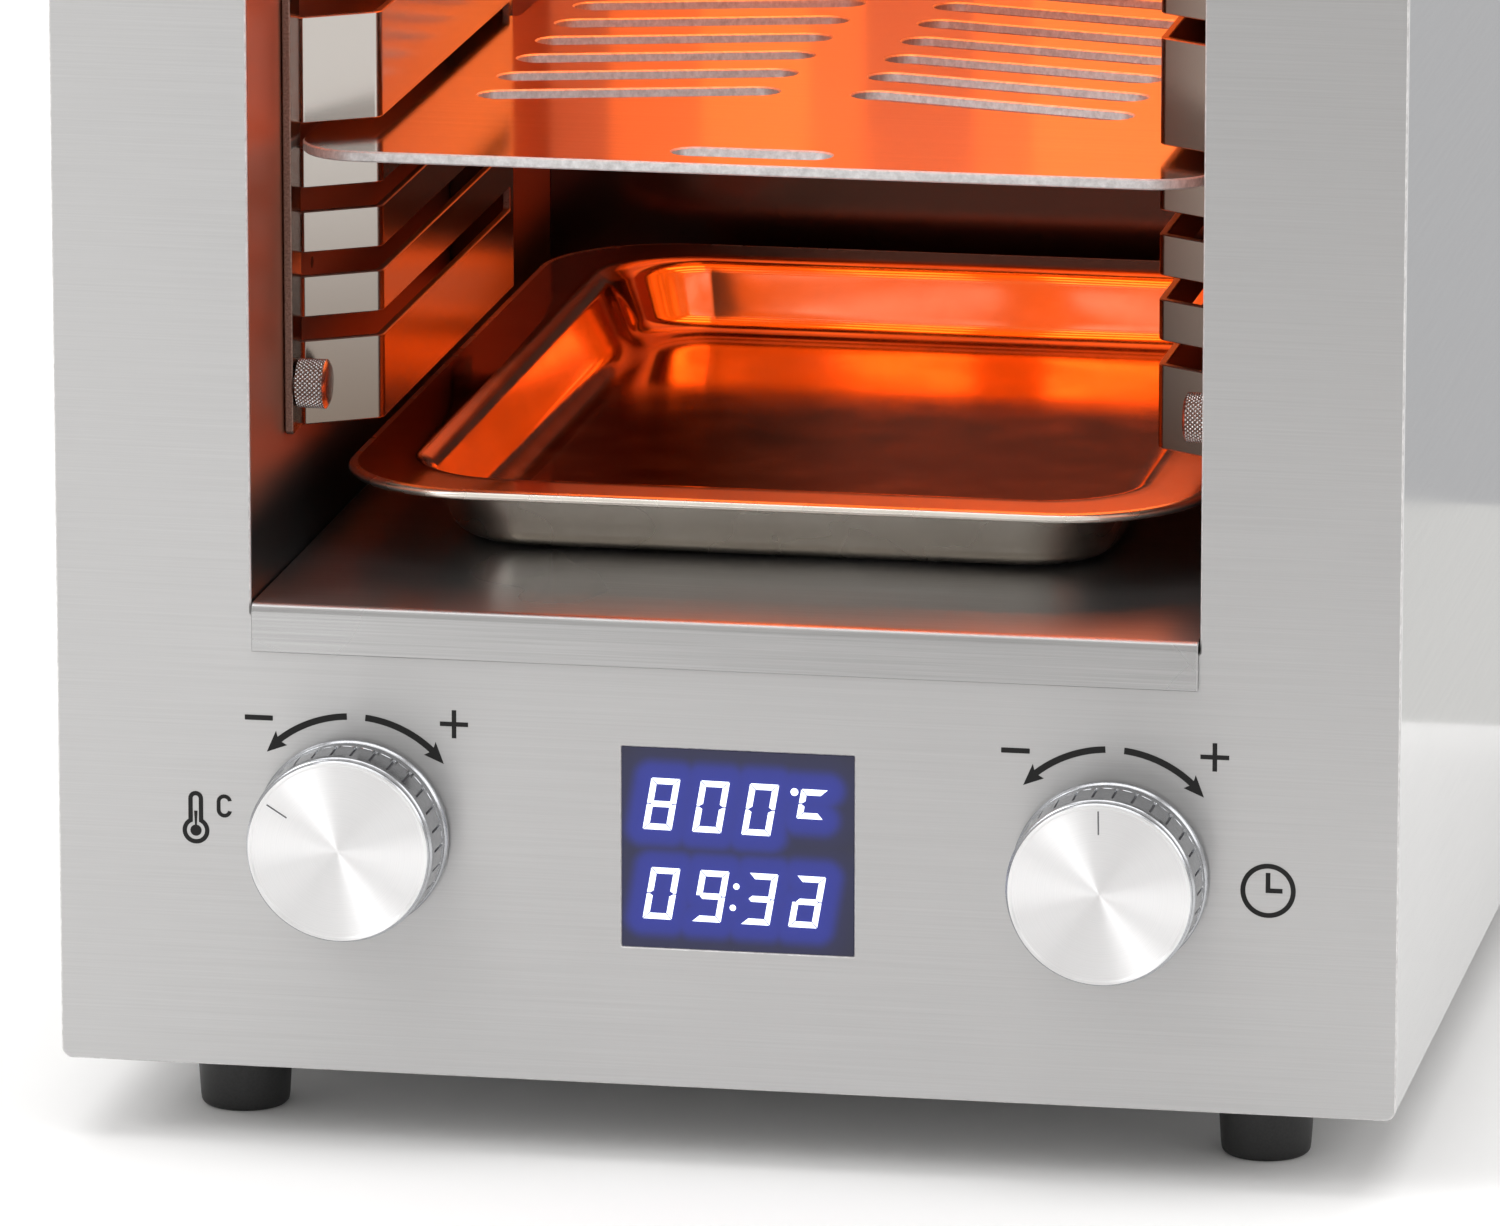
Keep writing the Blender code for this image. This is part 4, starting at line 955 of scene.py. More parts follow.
def on_module(points):
    """Turns points about the window's middle by the small tilt of the module."""
    cx, cz = (window_low.x + window_high.x) / 2, (window_low.z + window_high.z) / 2
    c, s = math.cos(MODULE_TILT), math.sin(MODULE_TILT)
    return [(cx + (x - cx) * c - (z - cz) * s, cz + (x - cx) * s + (z - cz) * c) for x, z in points]


lit_loops = []
top, left = window_high.z, window_low.x


def figure(sign, x, z, wide=DIGIT_WIDE, high=DIGIT_HIGH):
    for key in LIT[sign]:
        lit_loops.append(on_module([(x + a + b * LEAN, z + b) for a, b in segments(wide, high)[key]]))


def dot(x, z, radius):
    lit_loops.append(on_module(arc(x, z, radius, 0, 360, 14)[:-1]))


upper, lower = top - 15.3 * MM, top - 31.9 * MM
for sign, place in (("8", 3.75), ("0", 12.8), ("0", 21.8)):
    figure(sign, left + place * MM, upper)
dot(left + 31.4 * MM, upper + 8.45 * MM, 0.72 * MM)
figure("C", left + 31.8 * MM, upper + 3.6 * MM, 4.9 * MM, 5.5 * MM)
for sign, place in (("0", 3.95), ("9", 12.95), ("3", 21.9), ("change", 30.6)):
    figure(sign, left + place * MM, lower)
dot(left + 21.05 * MM, lower + 6.9 * MM, 0.58 * MM)
dot(left + 20.45 * MM, lower + 2.9 * MM, 0.58 * MM)

whole = bmesh.new()
for loop in lit_loops:
    shape = turn_to(plate(loop, [], window_low.y + 0.02 * MM, window_low.y + 0.06 * MM, 0.01 * MM), "XZY")
    scrap = bpy.data.meshes.new("scrap")
    shape.to_mesh(scrap)
    shape.free()
    whole.from_mesh(scrap)
    bpy.data.meshes.remove(scrap)
piece("readout_figures", whole, figure_white)

screen = bpy.data.materials.new("readout_screen")
screen.use_nodes = True
nodes, links = screen.node_tree.nodes, screen.node_tree.links
shader = nodes["Principled BSDF"]
spill = nodes.new("ShaderNodeAttribute")
spill.attribute_name = "spill"
links.new(ramp(nodes, links, spill.outputs["Fac"], (0.0, 0.0, 0.0), (0.006, 0.018, 0.29)),
          shader.inputs["Emission Color"])
shader.inputs["Emission Strength"].default_value = 1.0
shader.inputs["Base Color"].default_value = (0.030, 0.030, 0.036, 1.0)
shader.inputs["Roughness"].default_value = 0.16
shader.inputs["Specular IOR Level"].default_value = 0.25

bm = bmesh.new()
columns, rows_up = 150, 130
wide, high = window_high.x - window_low.x, window_high.z - window_low.z
pane = window_low.y + 0.10 * MM
verts = [[bm.verts.new((window_low.x + wide * i / columns, pane, window_low.z + high * j / rows_up))
          for i in range(columns + 1)] for j in range(rows_up + 1)]
for j in range(rows_up):
    for i in range(columns):
        bm.faces.new((verts[j][i], verts[j][i + 1], verts[j + 1][i + 1], verts[j + 1][i]))
border = ([verts[0][i] for i in range(columns)] + [verts[j][columns] for j in range(rows_up)]
          + [verts[rows_up][i] for i in range(columns, 0, -1)] + [verts[j][0] for j in range(rows_up, 0, -1)])
behind = [bm.verts.new(v.co + Vector((0, 1.7 * MM, 0))) for v in border]
for i in range(len(border)):
    k = (i + 1) % len(border)
    bm.faces.new((border[i], behind[i], behind[k], border[k]))
bm.faces.new(behind)
bmesh.ops.recalc_face_normals(bm, faces=bm.faces)
glass = piece("readout_window", bm, screen, stands_for=["display_window"])
glow = glass.data.attributes.new("spill", "FLOAT", "POINT")
edges = [(Vector(p), Vector(q)) for loop in lit_loops for p, q in zip(loop, loop[1:] + loop[:1])]
for index, vert in enumerate(glass.data.vertices):
    spot = Vector((vert.co.x, vert.co.z))
    nearest = 1.0
    for p, q in edges:
        share = max(0.0, min(1.0, (spot - p).dot(q - p) / (q - p).length_squared))
        nearest = min(nearest, (spot - p.lerp(q, share)).length)
    close = max(0.0, min(1.0, (4.3 * MM - nearest) / (2.5 * MM)))
    glow.data[index].value = 0.62 * close * close * (3 - 2 * close) + 0.38 * math.exp(-nearest / (5.0 * MM))


# ---------------------------------------------------------------- heater
# Folded reflector over a grooved ceramic slab; a glowing coil lies in the grooves behind a barred guard.

def moulded(name, dark, light, rough, scale=2500.0, relief=0.15, metallic=0.0):
    """A cast, moulded or woven surface: fine noise tints and dents it."""
    made = bpy.data.materials.new(name)
    made.use_nodes = True
    nodes, links = made.node_tree.nodes, made.node_tree.links
    shader = nodes["Principled BSDF"]
    where = nodes.new("ShaderNodeTexCoord")
    fine = nodes.new("ShaderNodeTexNoise")
    fine.inputs["Scale"].default_value = scale
    fine.inputs["Detail"].default_value = 3.0
    links.new(where.outputs["Object"], fine.inputs["Vector"])
    links.new(ramp(nodes, links, fine.outputs["Fac"], dark, light, *MIDDLE), shader.inputs["Base Color"])
    links.new(ramp(nodes, links, fine.outputs["Fac"], *rough, *MIDDLE), shader.inputs["Roughness"])
    bump = nodes.new("ShaderNodeBump")
    bump.inputs["Strength"].default_value = relief
    bump.inputs["Distance"].default_value = 0.0002
    links.new(fine.outputs["Fac"], bump.inputs["Height"])
    links.new(bump.outputs["Normal"], shader.inputs["Normal"])
    shader.inputs["Metallic"].default_value = metallic
    return made


def pocketed(outline, pockets, low, depth, high, chamfer):
    """A block from `low` to `high` whose pockets open at `low` and reach `depth`; vertices (a, b, depth)."""
    bm = bmesh.new()
    step = math.copysign(chamfer, high - low)

    def wall(levels):
        rings = [[bm.verts.new((a, b, level)) for a, b in loop] for loop, level in levels]
        for ring, other in zip(rings, rings[1:]):
            for i in range(len(ring)):
                j = (i + 1) % len(ring)
                bm.faces.new((ring[i], ring[j], other[j], other[i]))
        bm.faces.new(rings[-1])
        return rings[0]

    inset = grown(outline, -chamfer)
    open_rings = [wall([(inset, low), (outline, low + step), (outline, high - step), (inset, high)])]
    for pocket in pockets:
        open_rings.append(wall([(grown(pocket, chamfer / 2), low), (pocket, low + step / 2), (pocket, depth)]))
    edges = [bm.edges.get((ring[i], ring[(i + 1) % len(ring)])) for ring in open_rings for i in range(len(ring))]
    bmesh.ops.triangle_fill(bm, use_beauty=True, use_dissolve=False, edges=edges)
    bmesh.ops.recalc_face_normals(bm, faces=bm.faces)
    return bm


def wire(bm, path, radius, up, closed=False, sides=10):
    """Adds a round wire along `path`; `up` is a direction that the path never takes."""
    rings, count = [], len(path)
    for i, here in enumerate(path):
        before = path[i - 1] if closed or i else here
        after = path[(i + 1) % count] if closed or i < count - 1 else here
        along = (Vector(after) - Vector(before)).normalized()
        side = along.cross(Vector(up)).normalized()
        lift = side.cross(along)
        turns = [2 * math.pi * k / sides for k in range(sides)]
        rings.append([bm.verts.new(Vector(here) + side * radius * math.cos(a) + lift * radius * math.sin(a))
                      for a in turns])
    for ring, other in list(zip(rings, rings[1:])) + ([(rings[-1], rings[0])] if closed else []):
        for k in range(sides):
            m = (k + 1) % sides
            bm.faces.new((ring[k], ring[m], other[m], other[k]))
    if not closed:
        bm.faces.new(rings[0])
        bm.faces.new(rings[-1])
    bmesh.ops.recalc_face_normals(bm, faces=bm.faces)


def geometry_tree(name, sockets):
    """An empty Geometry Nodes tree with named inputs; returns it, its input node and a node maker."""
    tree = bpy.data.node_groups.new(name, "GeometryNodeTree")
    for label, kind in sockets:
        tree.interface.new_socket(label, in_out="INPUT", socket_type="NodeSocket" + kind)
    tree.interface.new_socket("Geometry", in_out="OUTPUT", socket_type="NodeSocketGeometry")
    start = tree.nodes.new("NodeGroupInput")

    def add(kind, **wires):
        """Adds a node; each keyword names an input and gives a value or a socket."""
        node = tree.nodes.new(kind)
        for label, value in wires.items():
            socket = node.inputs[label.replace("_", " ")]
            if isinstance(value, bpy.types.NodeSocket):
                tree.links.new(value, socket)
            else:
                socket.default_value = value
        return node

    return tree, start, add


def close_tree(tree, start, add, instances):
    """Realizes the instances, sets the tree's Material and links the result out."""
    real = add("GeometryNodeRealizeInstances", Geometry=instances)
    coat = add("GeometryNodeSetMaterial", Geometry=real.outputs[0], Material=start.outputs["Material"])
    tree.links.new(coat.outputs[0], tree.nodes.new("NodeGroupOutput").inputs["Geometry"])
    return tree


def run_tree(tree, values, points=()):
    """Runs a tree on a mesh of loose points with its named inputs set; returns the result as a bmesh."""
    mesh = bpy.data.meshes.new(tree.name)
    mesh.from_pydata([tuple(p) for p in points], [], [])
    host = bpy.data.objects.new(tree.name, mesh)
    scene.collection.objects.link(host)
    modifier = host.modifiers.new(tree.name, "NODES")
    modifier.node_group = tree
    for item in tree.interface.items_tree:
        if item.in_out == "INPUT" and item.name in values:
            modifier[item.identifier] = values[item.name]
    made = bpy.data.meshes.new_from_object(host.evaluated_get(bpy.context.evaluated_depsgraph_get()))
    host.modifiers.clear()
    bm = bmesh.new()
    bm.from_mesh(made)
    bpy.data.objects.remove(host)
    bpy.data.meshes.remove(made)
    return bm


reflector_metal = sheet_metal("reflector_metal", (0.62, 0.60, 0.56), (0.70, 0.67, 0.62), (0.16, 0.26),
                              along=40.0, across=600.0, relief=0.01)
case_low, case_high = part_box("heater_reflector")
case_flange, case_bend = 8.0 * MM, 2.0 * MM
case_rise = case_high.z - case_low.z - SHEET - 2 * case_bend
case_runs = [case_flange - case_bend, (case_bend, 90), case_rise, (case_bend, -90),
             case_high.x - case_low.x - 2 * case_flange - 2 * case_bend, (case_bend, -90), case_rise,
             (case_bend, 90), case_flange - case_bend]
case_width = run_length(case_runs)
flange_holes = [arc(x, y, 1.8 * MM, 0, 360, 16)[:-1] for x in (4.0 * MM, case_width - 4.0 * MM)
                for y in (case_low.y + 12.0 * MM, case_high.y - 12.0 * MM)]
flat = plate([(0, case_low.y), (case_width, case_low.y), (case_width, case_high.y), (0, case_high.y)], flange_holes,
             -SHEET / 2, SHEET / 2, 0.15 * MM)
piece("reflector_case", folded(flat, (case_low.x, case_low.z + SHEET / 2), 0.0, case_runs, "XZY"), reflector_metal,
      stands_for=["heater_reflector"])

ceramic = moulded("white_ceramic", (0.62, 0.58, 0.52), (0.78, 0.74, 0.68), (0.75, 0.92), scale=900.0, relief=0.25)
slab_low, slab_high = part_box("ceramic_plate")
coil_low, coil_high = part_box("heating_wire")
LANES, LANE_PITCH = 7, 17.0 * MM
lanes = [(i - (LANES - 1) / 2) * LANE_PITCH for i in range(LANES)]
grooves = [rounded(x - 4.2 * MM, slab_low.y + 6.0 * MM, x + 4.2 * MM, slab_high.y - 6.0 * MM, 2.0 * MM, 4)
           for x in lanes]
slab = pocketed(rounded(slab_low.x, slab_low.y, slab_high.x, slab_high.y, 2.5 * MM), grooves, slab_low.z,
                slab_low.z + 4.0 * MM, slab_high.z, 0.6 * MM)
piece("grooved_ceramic", slab, ceramic, stands_for=["ceramic_plate"])

glowing = moulded("heating_wire", (0.30, 0.08, 0.03), (0.45, 0.14, 0.05), (0.55, 0.7), scale=300.0, metallic=0.4)
shader = glowing.node_tree.nodes["Principled BSDF"]
shader.inputs["Emission Color"].default_value = (1.0, 0.20, 0.03, 1.0)
shader.inputs["Emission Strength"].default_value = 2.2

tree, start, add = geometry_tree("wound lanes", [
    ("Length", "Float"), ("Turns", "Float"), ("Coil Radius", "Float"), ("Wire Radius", "Float"), ("Lanes", "Int"),
    ("First", "Vector"), ("Step", "Vector"), ("Material", "Material")])
spiral = add("GeometryNodeCurveSpiral", Resolution=10, Rotations=start.outputs["Turns"],
             Start_Radius=start.outputs["Coil Radius"], End_Radius=start.outputs["Coil Radius"],
             Height=start.outputs["Length"])
section = add("GeometryNodeCurvePrimitiveCircle", Resolution=5, Radius=start.outputs["Wire Radius"])
wound = add("GeometryNodeCurveToMesh", Curve=spiral.outputs[0], Profile_Curve=section.outputs[0])
laid = add("GeometryNodeTransform", Geometry=wound.outputs[0], Rotation=(-math.pi / 2, 0.0, 0.0))
line = add("GeometryNodeMeshLine", Count=start.outputs["Lanes"], Start_Location=start.outputs["First"],
           Offset=start.outputs["Step"])
copies = add("GeometryNodeInstanceOnPoints", Points=line.outputs[0], Instance=laid.outputs[0])
close_tree(tree, start, add, copies.outputs[0])
coil_z = (coil_low.z + coil_high.z) / 2
lane_end = 6.0 * MM
coil = run_tree(tree, {
    "Length": coil_high.y - coil_low.y - 2 * lane_end, "Turns": 72.0, "Coil Radius": 0.95 * MM,
    "Wire Radius": 0.34 * MM, "Lanes": LANES, "First": (lanes[0], coil_low.y + lane_end, coil_z),
    "Step": (LANE_PITCH, 0.0, 0.0), "Material": glowing})
for i, x in enumerate(lanes[:-1]):
    end = coil_high.y - lane_end if i % 2 == 0 else coil_low.y + lane_end
    swing = arc(0, 0, LANE_PITCH / 2, 180, 0, 14)
    flip = 1 if i % 2 == 0 else -1
    path = [(x + LANE_PITCH / 2 + a, end + flip * b * 0.62, coil_z) for a, b in swing]
    wire(coil, path, 0.6 * MM, (0, 0, 1), sides=8)
piece("heating_coil", coil, glowing, stands_for=["heating_wire"], smooth=60.0)

bars_low, bars_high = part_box("heater_guard")
slits = [rounded(x - 6.25 * MM, bars_low.y + 3.0 * MM, x + 6.25 * MM, bars_high.y - 3.0 * MM, 1.5 * MM, 4)
         for x in ((15.5 * i - 54.25) * MM for i in range(8))]
guard = plate(rounded(bars_low.x, bars_low.y, bars_high.x, bars_high.y, 3.0 * MM), slits, bars_low.z, bars_high.z,
              0.5 * MM)
piece("barred_guard", guard, reflector_metal, stands_for=["heater_guard"])

block_low, block_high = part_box("terminal_block")
middle = (block_low.y + block_high.y) / 2
wells = [arc(x, middle, 2.6 * MM, 0, 360, 24)[:-1] for x in (-13.0 * MM, 0.0, 13.0 * MM)]
terminals = pocketed(rounded(block_low.x, block_low.y, block_high.x, block_high.y, 1.5 * MM), wells, block_high.z,
                     block_high.z - 8.0 * MM, block_low.z, 0.5 * MM)
piece("ceramic_terminals", terminals, ceramic, stands_for=["terminal_block"])

wool = moulded("mineral_wool", (0.46, 0.43, 0.34), (0.78, 0.75, 0.66), (0.9, 1.0), scale=700.0, relief=1.0)
blanket_low, blanket_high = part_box("insulation_blanket")
bm = bmesh.new()
bmesh.ops.create_cube(bm, size=1.0)
bmesh.ops.subdivide_edges(bm, edges=bm.edges[:], cuts=40, use_grid_fill=True)
centre, span = (blanket_low + blanket_high) / 2, blanket_high - blanket_low
bm.normal_update()
for vert in bm.verts:
    place = centre + Vector(a * b for a, b in zip(vert.co, span))
    vert.co = place - vert.normal * (0.7 + 0.6 * noise.noise(place * 90.0)) * MM
piece("wool_blanket", bm, wool, stands_for=["insulation_blanket"], smooth=70.0)


# ---------------------------------------------------------------- temperature probe
# A closed thin sheath with a hexagon collar behind the wall and a crimped tail.

probe_low, probe_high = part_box("temperature_probe")
probe_centre = ((probe_low.x + probe_high.x) / 2, 0.0, (probe_low.z + probe_high.z) / 2)
tip = probe_low.y
sheath = [(0.3 * MM, tip)] + [(1.6 * MM * math.sin(a), tip + 1.6 * MM - 1.6 * MM * math.cos(a))
                              for a in [math.radians(15 * i) for i in range(1, 7)]]
sheath += [(1.6 * MM, tip + 27.4 * MM), (4.0 * MM, tip + 27.5 * MM), (4.0 * MM, tip + 32.8 * MM),
           (2.4 * MM, tip + 33.0 * MM), (2.4 * MM, tip + 38.0 * MM), (1.9 * MM, tip + 38.4 * MM),
           (1.9 * MM, tip + 39.6 * MM), (2.4 * MM, tip + 40.0 * MM), (2.4 * MM, probe_high.y - 0.4 * MM),
           (2.0 * MM, probe_high.y), (0.3 * MM, probe_high.y)]


def hexagon(radius, along, angle):
    """The widest part is cut to a hexagon."""
    if radius < 3.9 * MM:
        return radius
    return radius * math.cos(math.pi / 6) / math.cos((angle + math.pi / 6) % (math.pi / 3) - math.pi / 6)


probe = lathe(sheath, probe_centre, "Y", 48, hexagon)
piece("probe_sheath", probe, tray_metal, stands_for=["temperature_probe"])


# ---------------------------------------------------------------- back and base
# Plain sheets: exhaust slots, the fan opening and the inlet cut-out behind; intake slots below.

bay_metal = sheet_metal("bay_metal", (0.50, 0.50, 0.50), (0.60, 0.60, 0.595), (0.30, 0.40), along=40.0, across=1200.0,
                        anisotropic=0.3)
back_low, back_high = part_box("back_panel")
fan_low, fan_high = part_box("fan_frame")
fan_z = (fan_low.z + fan_high.z) / 2
inlet_low, inlet_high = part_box("power_inlet")
inlet_x, inlet_z = (inlet_low.x + inlet_high.x) / 2, (inlet_low.z + inlet_high.z) / 2
body_half_x, body_half_z = 13.9 * MM, 9.9 * MM
fan_open = 27.0 * MM
back_holes = [arc(0.0, fan_z, fan_open, 0, 360, 64)[:-1],
              rounded(inlet_x - body_half_x - 0.4 * MM, inlet_z - body_half_z - 0.4 * MM,
                      inlet_x + body_half_x + 0.4 * MM, inlet_z + body_half_z + 0.4 * MM, 1.0 * MM, 3)]
for z in (panel_high.z - 40.0 * MM, panel_high.z - 74.0 * MM):
    for i in range(11):
        back_holes.append(slot_loop((i - 5) * 16.0 * MM, z, 26.0 * MM, 4.0 * MM, math.pi / 2))
back = plate(rounded(back_low.x, back_low.z, back_high.x, back_high.z, 2.0 * MM), back_holes, back_low.y, back_high.y,
             0.15 * MM)
piece("back_sheet", turn_to(back, "XZY"), (bay_metal, cut_edge), stands_for=["back_panel"])

base_low, base_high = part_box("base_plate")
base_holes = [slot_loop((i - 4) * 14.0 * MM, 0.0, 60.0 * MM, 4.0 * MM, math.pi / 2) for i in range(9)]
base_holes += [arc(sx * 95.0 * MM, sy * 156.0 * MM, 2.6 * MM, 0, 360, 20)[:-1] for sx in (-1, 1) for sy in (-1, 1)]
base = plate([(base_low.x, base_low.y), (base_high.x, base_low.y), (base_high.x, base_high.y),
              (base_low.x, base_high.y)], base_holes, base_low.z, base_high.z, 0.15 * MM)
piece("base_sheet", base, (bay_metal, cut_edge), stands_for=["base_plate"])

spacer_bend = 2.0 * MM
for label in ("left", "right"):
    low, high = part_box("rear_spacer_" + label)
    reach = high.y - low.y - SHEET - 2 * spacer_bend
    runs = [10.0 * MM - spacer_bend, (spacer_bend, 90), reach, (spacer_bend, -90), 28.0 * MM - 2 * spacer_bend,
            (spacer_bend, -90), reach, (spacer_bend, 90), 10.0 * MM - spacer_bend]
    length = run_length(runs)
    middle = (low.z + high.z) / 2
    holes = [arc(s, middle, 1.7 * MM, 0, 360, 20)[:-1] for s in (4.5 * MM, length - 4.5 * MM)]
    flat = plate(rounded(0, low.z, length, high.z, 3.0 * MM, 5), holes, -SHEET / 2, SHEET / 2, 0.15 * MM)
    piece("wall_spacer_" + label, folded(flat, (low.x, low.y + SHEET / 2), 0.0, runs, "XYZ"), (rail_metal, cut_edge),
          stands_for=["rear_spacer_" + label])


# ---------------------------------------------------------------- screws
# Pan heads with a cross recess, one shape repeated at every fixing point on the back.

tree, start, add = geometry_tree("repeat at points", [
    ("Points", "Geometry"), ("Shape", "Object"), ("Material", "Material")])
shape = add("GeometryNodeObjectInfo", Object=start.outputs["Shape"])
copies = add("GeometryNodeInstanceOnPoints", Points=start.outputs["Points"],
             Instance=shape.outputs["Geometry"])
repeat_tree = close_tree(tree, start, add, copies.outputs[0])


def repeated(shape, points, material):
    """Copies the bmesh `shape` to each point through the node tree."""
    mesh = bpy.data.meshes.new("shape")
    shape.to_mesh(mesh)
    shape.free()
    template = bpy.data.objects.new("shape", mesh)
    scene.collection.objects.link(template)
    bm = run_tree(repeat_tree, {"Shape": template, "Material": material}, points)
    bpy.data.objects.remove(template)
    bpy.data.meshes.remove(mesh)
    return bm


arm, web = 1.35 * MM, 0.35 * MM
recess = [(arm, -web), (arm, web), (web, web), (web, arm), (-web, arm), (-web, web), (-arm, web), (-arm, -web),
          (-web, -web), (-web, -arm), (web, -arm), (web, -web)]
pan_head = pocketed(arc(0, 0, 2.7 * MM, 0, 360, 20)[:-1], [recess], 1.7 * MM, 0.6 * MM, 0.02 * MM, 0.45 * MM)
turn_to(pan_head, "XZY")
edge_x = back_high.x - 6.0 * MM
heights = [back_low.z + 8.0 * MM, (back_low.z + back_high.z) / 2, back_high.z - 8.0 * MM]
fixings = [(side * edge_x, back_high.y, z) for side in (-1, 1) for z in heights]
fixings += [(0.0, back_high.y, back_high.z - 8.0 * MM), (40.0 * MM, back_high.y, back_low.z + 8.0 * MM)]
for label in ("left", "right"):
    low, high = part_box("rear_spacer_" + label)
    fixings += [(x, low.y + SHEET, (low.z + high.z) / 2) for x in (low.x + 4.5 * MM, high.x - 4.5 * MM)]
fixings += [(inlet_x + side * 20.0 * MM, inlet_high.y, inlet_z) for side in (-1, 1)]
piece("cross_head_screws", repeated(pan_head, fixings, screw_metal), screw_metal)


# ---------------------------------------------------------------- cooling fan
# Moulded frame with four arms, a seven-bladed wheel on its own pin, and a wire guard outside the back.

plastic = moulded("black_plastic", (0.016, 0.016, 0.018), (0.030, 0.030, 0.033), (0.38, 0.52), scale=1800.0)
frame_holes = [arc(0.0, fan_z, 26.0 * MM, 0, 360, 64)[:-1]]
frame_holes += [arc(sx * 25.5 * MM, fan_z + sz * 23.5 * MM, 1.7 * MM, 0, 360, 16)[:-1]
                for sx in (-1, 1) for sz in (-1, 1)]
casing = plate(rounded(fan_low.x, fan_low.z, fan_high.x, fan_high.z, 4.0 * MM), frame_holes, fan_low.y, fan_high.y,
               0.4 * MM)
turn_to(casing, "XZY")
for k in range(4):
    a = math.radians(45 + 90 * k)
    ends = [(r * math.cos(a), fan_low.y + 1.6 * MM, fan_z + r * math.sin(a)) for r in (8.0 * MM, 27.0 * MM)]
    wire(casing, ends, 1.0 * MM, (0, 1, 0), sides=8)
piece("fan_casing", casing, plastic, stands_for=["fan_frame"])
pad = lathe([(0.3 * MM, fan_low.y), (9.0 * MM, fan_low.y), (9.0 * MM, fan_low.y + 3.0 * MM),
             (1.2 * MM, fan_low.y + 3.0 * MM), (1.2 * MM, fan_high.y - 3.0 * MM), (0.3 * MM, fan_high.y - 3.0 * MM)],
            (0.0, 0.0, fan_z), "Y", 40)
piece("fan_motor_pad", pad, plastic)

wheel_low, wheel_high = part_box("fan_impeller")
tree, start, add = geometry_tree("ring of copies", [
    ("Shape", "Object"), ("Count", "Int"), ("Swing", "Float"), ("Centre", "Vector"), ("Material", "Material")])
shape = add("GeometryNodeObjectInfo", Object=start.outputs["Shape"])
line = add("GeometryNodeMeshLine", Count=start.outputs["Count"], Start_Location=start.outputs["Centre"],
           Offset=(0.0, 0.0, 0.0))
number = tree.nodes.new("GeometryNodeInputIndex")
swing = tree.nodes.new("ShaderNodeMath")
swing.operation = "MULTIPLY"
tree.links.new(number.outputs[0], swing.inputs[0])
tree.links.new(start.outputs["Swing"], swing.inputs[1])
turned = add("ShaderNodeCombineXYZ", Y=swing.outputs[0])
copies = add("GeometryNodeInstanceOnPoints", Points=line.outputs[0], Instance=shape.outputs["Geometry"],
             Rotation=turned.outputs[0])
close_tree(tree, start, add, copies.outputs[0])
blade = bmesh.new()
rows = []
depth = wheel_high.y - wheel_low.y
for i in range(9):
    share = i / 8
    radius = (8.4 + 15.9 * share) * MM
    twist = math.radians(38 - 14 * share)
    chord = (5.2 + 2.2 * share) * MM
    row = []
    for k in range(9):
        s = k / 8 - 0.5
        camber = 0.9 * MM * (1 - 4 * s * s)
        x = chord * s * 2 * math.cos(twist) + 2.0 * MM * share
        y = chord * s * 1.1 * math.sin(twist) + camber * 0.5
        row.append((x, y, radius))
    rows.append(row)
thick = 0.45 * MM
front = [[blade.verts.new((x, y - thick, z)) for x, y, z in row] for row in rows]
rear = [[blade.verts.new((x, y + thick, z)) for x, y, z in row] for row in rows]
for side in (front, rear):
    for row, following in zip(side, side[1:]):
        for k in range(8):
            blade.faces.new((row[k], row[k + 1], following[k + 1], following[k]))
border = ([(0, k) for k in range(8)] + [(i, 8) for i in range(8)] + [(8, 8 - k) for k in range(8)]
          + [(8 - i, 0) for i in range(8)])
for one, two in zip(border, border[1:] + border[:1]):
    blade.faces.new((front[one[0]][one[1]], front[two[0]][two[1]], rear[two[0]][two[1]], rear[one[0]][one[1]]))
bmesh.ops.recalc_face_normals(blade, faces=blade.faces)
mesh = bpy.data.meshes.new("blade")
blade.to_mesh(mesh)
blade.free()
template = bpy.data.objects.new("blade", mesh)
scene.collection.objects.link(template)
wheel = run_tree(tree, {"Shape": template, "Count": 7, "Swing": 2 * math.pi / 7,
                        "Centre": (0.0, (wheel_low.y + wheel_high.y) / 2, fan_z), "Material": plastic})
bpy.data.objects.remove(template)
bpy.data.meshes.remove(mesh)
piece("fan_blades", wheel, plastic, body="fan_rotor", stands_for=["fan_impeller"])
hub = lathe([(1.5 * MM, wheel_low.y), (8.4 * MM, wheel_low.y), (9.0 * MM, wheel_low.y + 0.6 * MM),
             (9.0 * MM, wheel_high.y - 0.8 * MM), (8.2 * MM, wheel_high.y), (1.5 * MM, wheel_high.y)],
            (0.0, 0.0, fan_z), "Y", 48)
piece("fan_hub", hub, plastic, body="fan_rotor")

ring_low, ring_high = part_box("fan_guard")
ring_y = (ring_low.y + ring_high.y) / 2
HOOPS = (8.0 * MM, 14.6 * MM, 21.2 * MM, 28.9 * MM)
guard = bmesh.new()
for radius in HOOPS:
    hoop = [(x, ring_y, z) for x, z in arc(0.0, fan_z, radius, 0, 360, 64)[:-1]]
    wire(guard, hoop, 0.75 * MM, (0, 1, 0), closed=True, sides=8)
for k in range(4):
    a = math.radians(45 + 90 * k)
    ends = [(r * math.cos(a), ring_y, fan_z + r * math.sin(a)) for r in (HOOPS[0], HOOPS[-1])]
    wire(guard, ends, 0.75 * MM, (0, 1, 0), sides=8)
piece("fan_wire_guard", guard, screw_metal, stands_for=["fan_guard"], smooth=60.0)


# ---------------------------------------------------------------- mains inlet
# Moulded socket with a screw flange; three flat pins stand in its mouth.

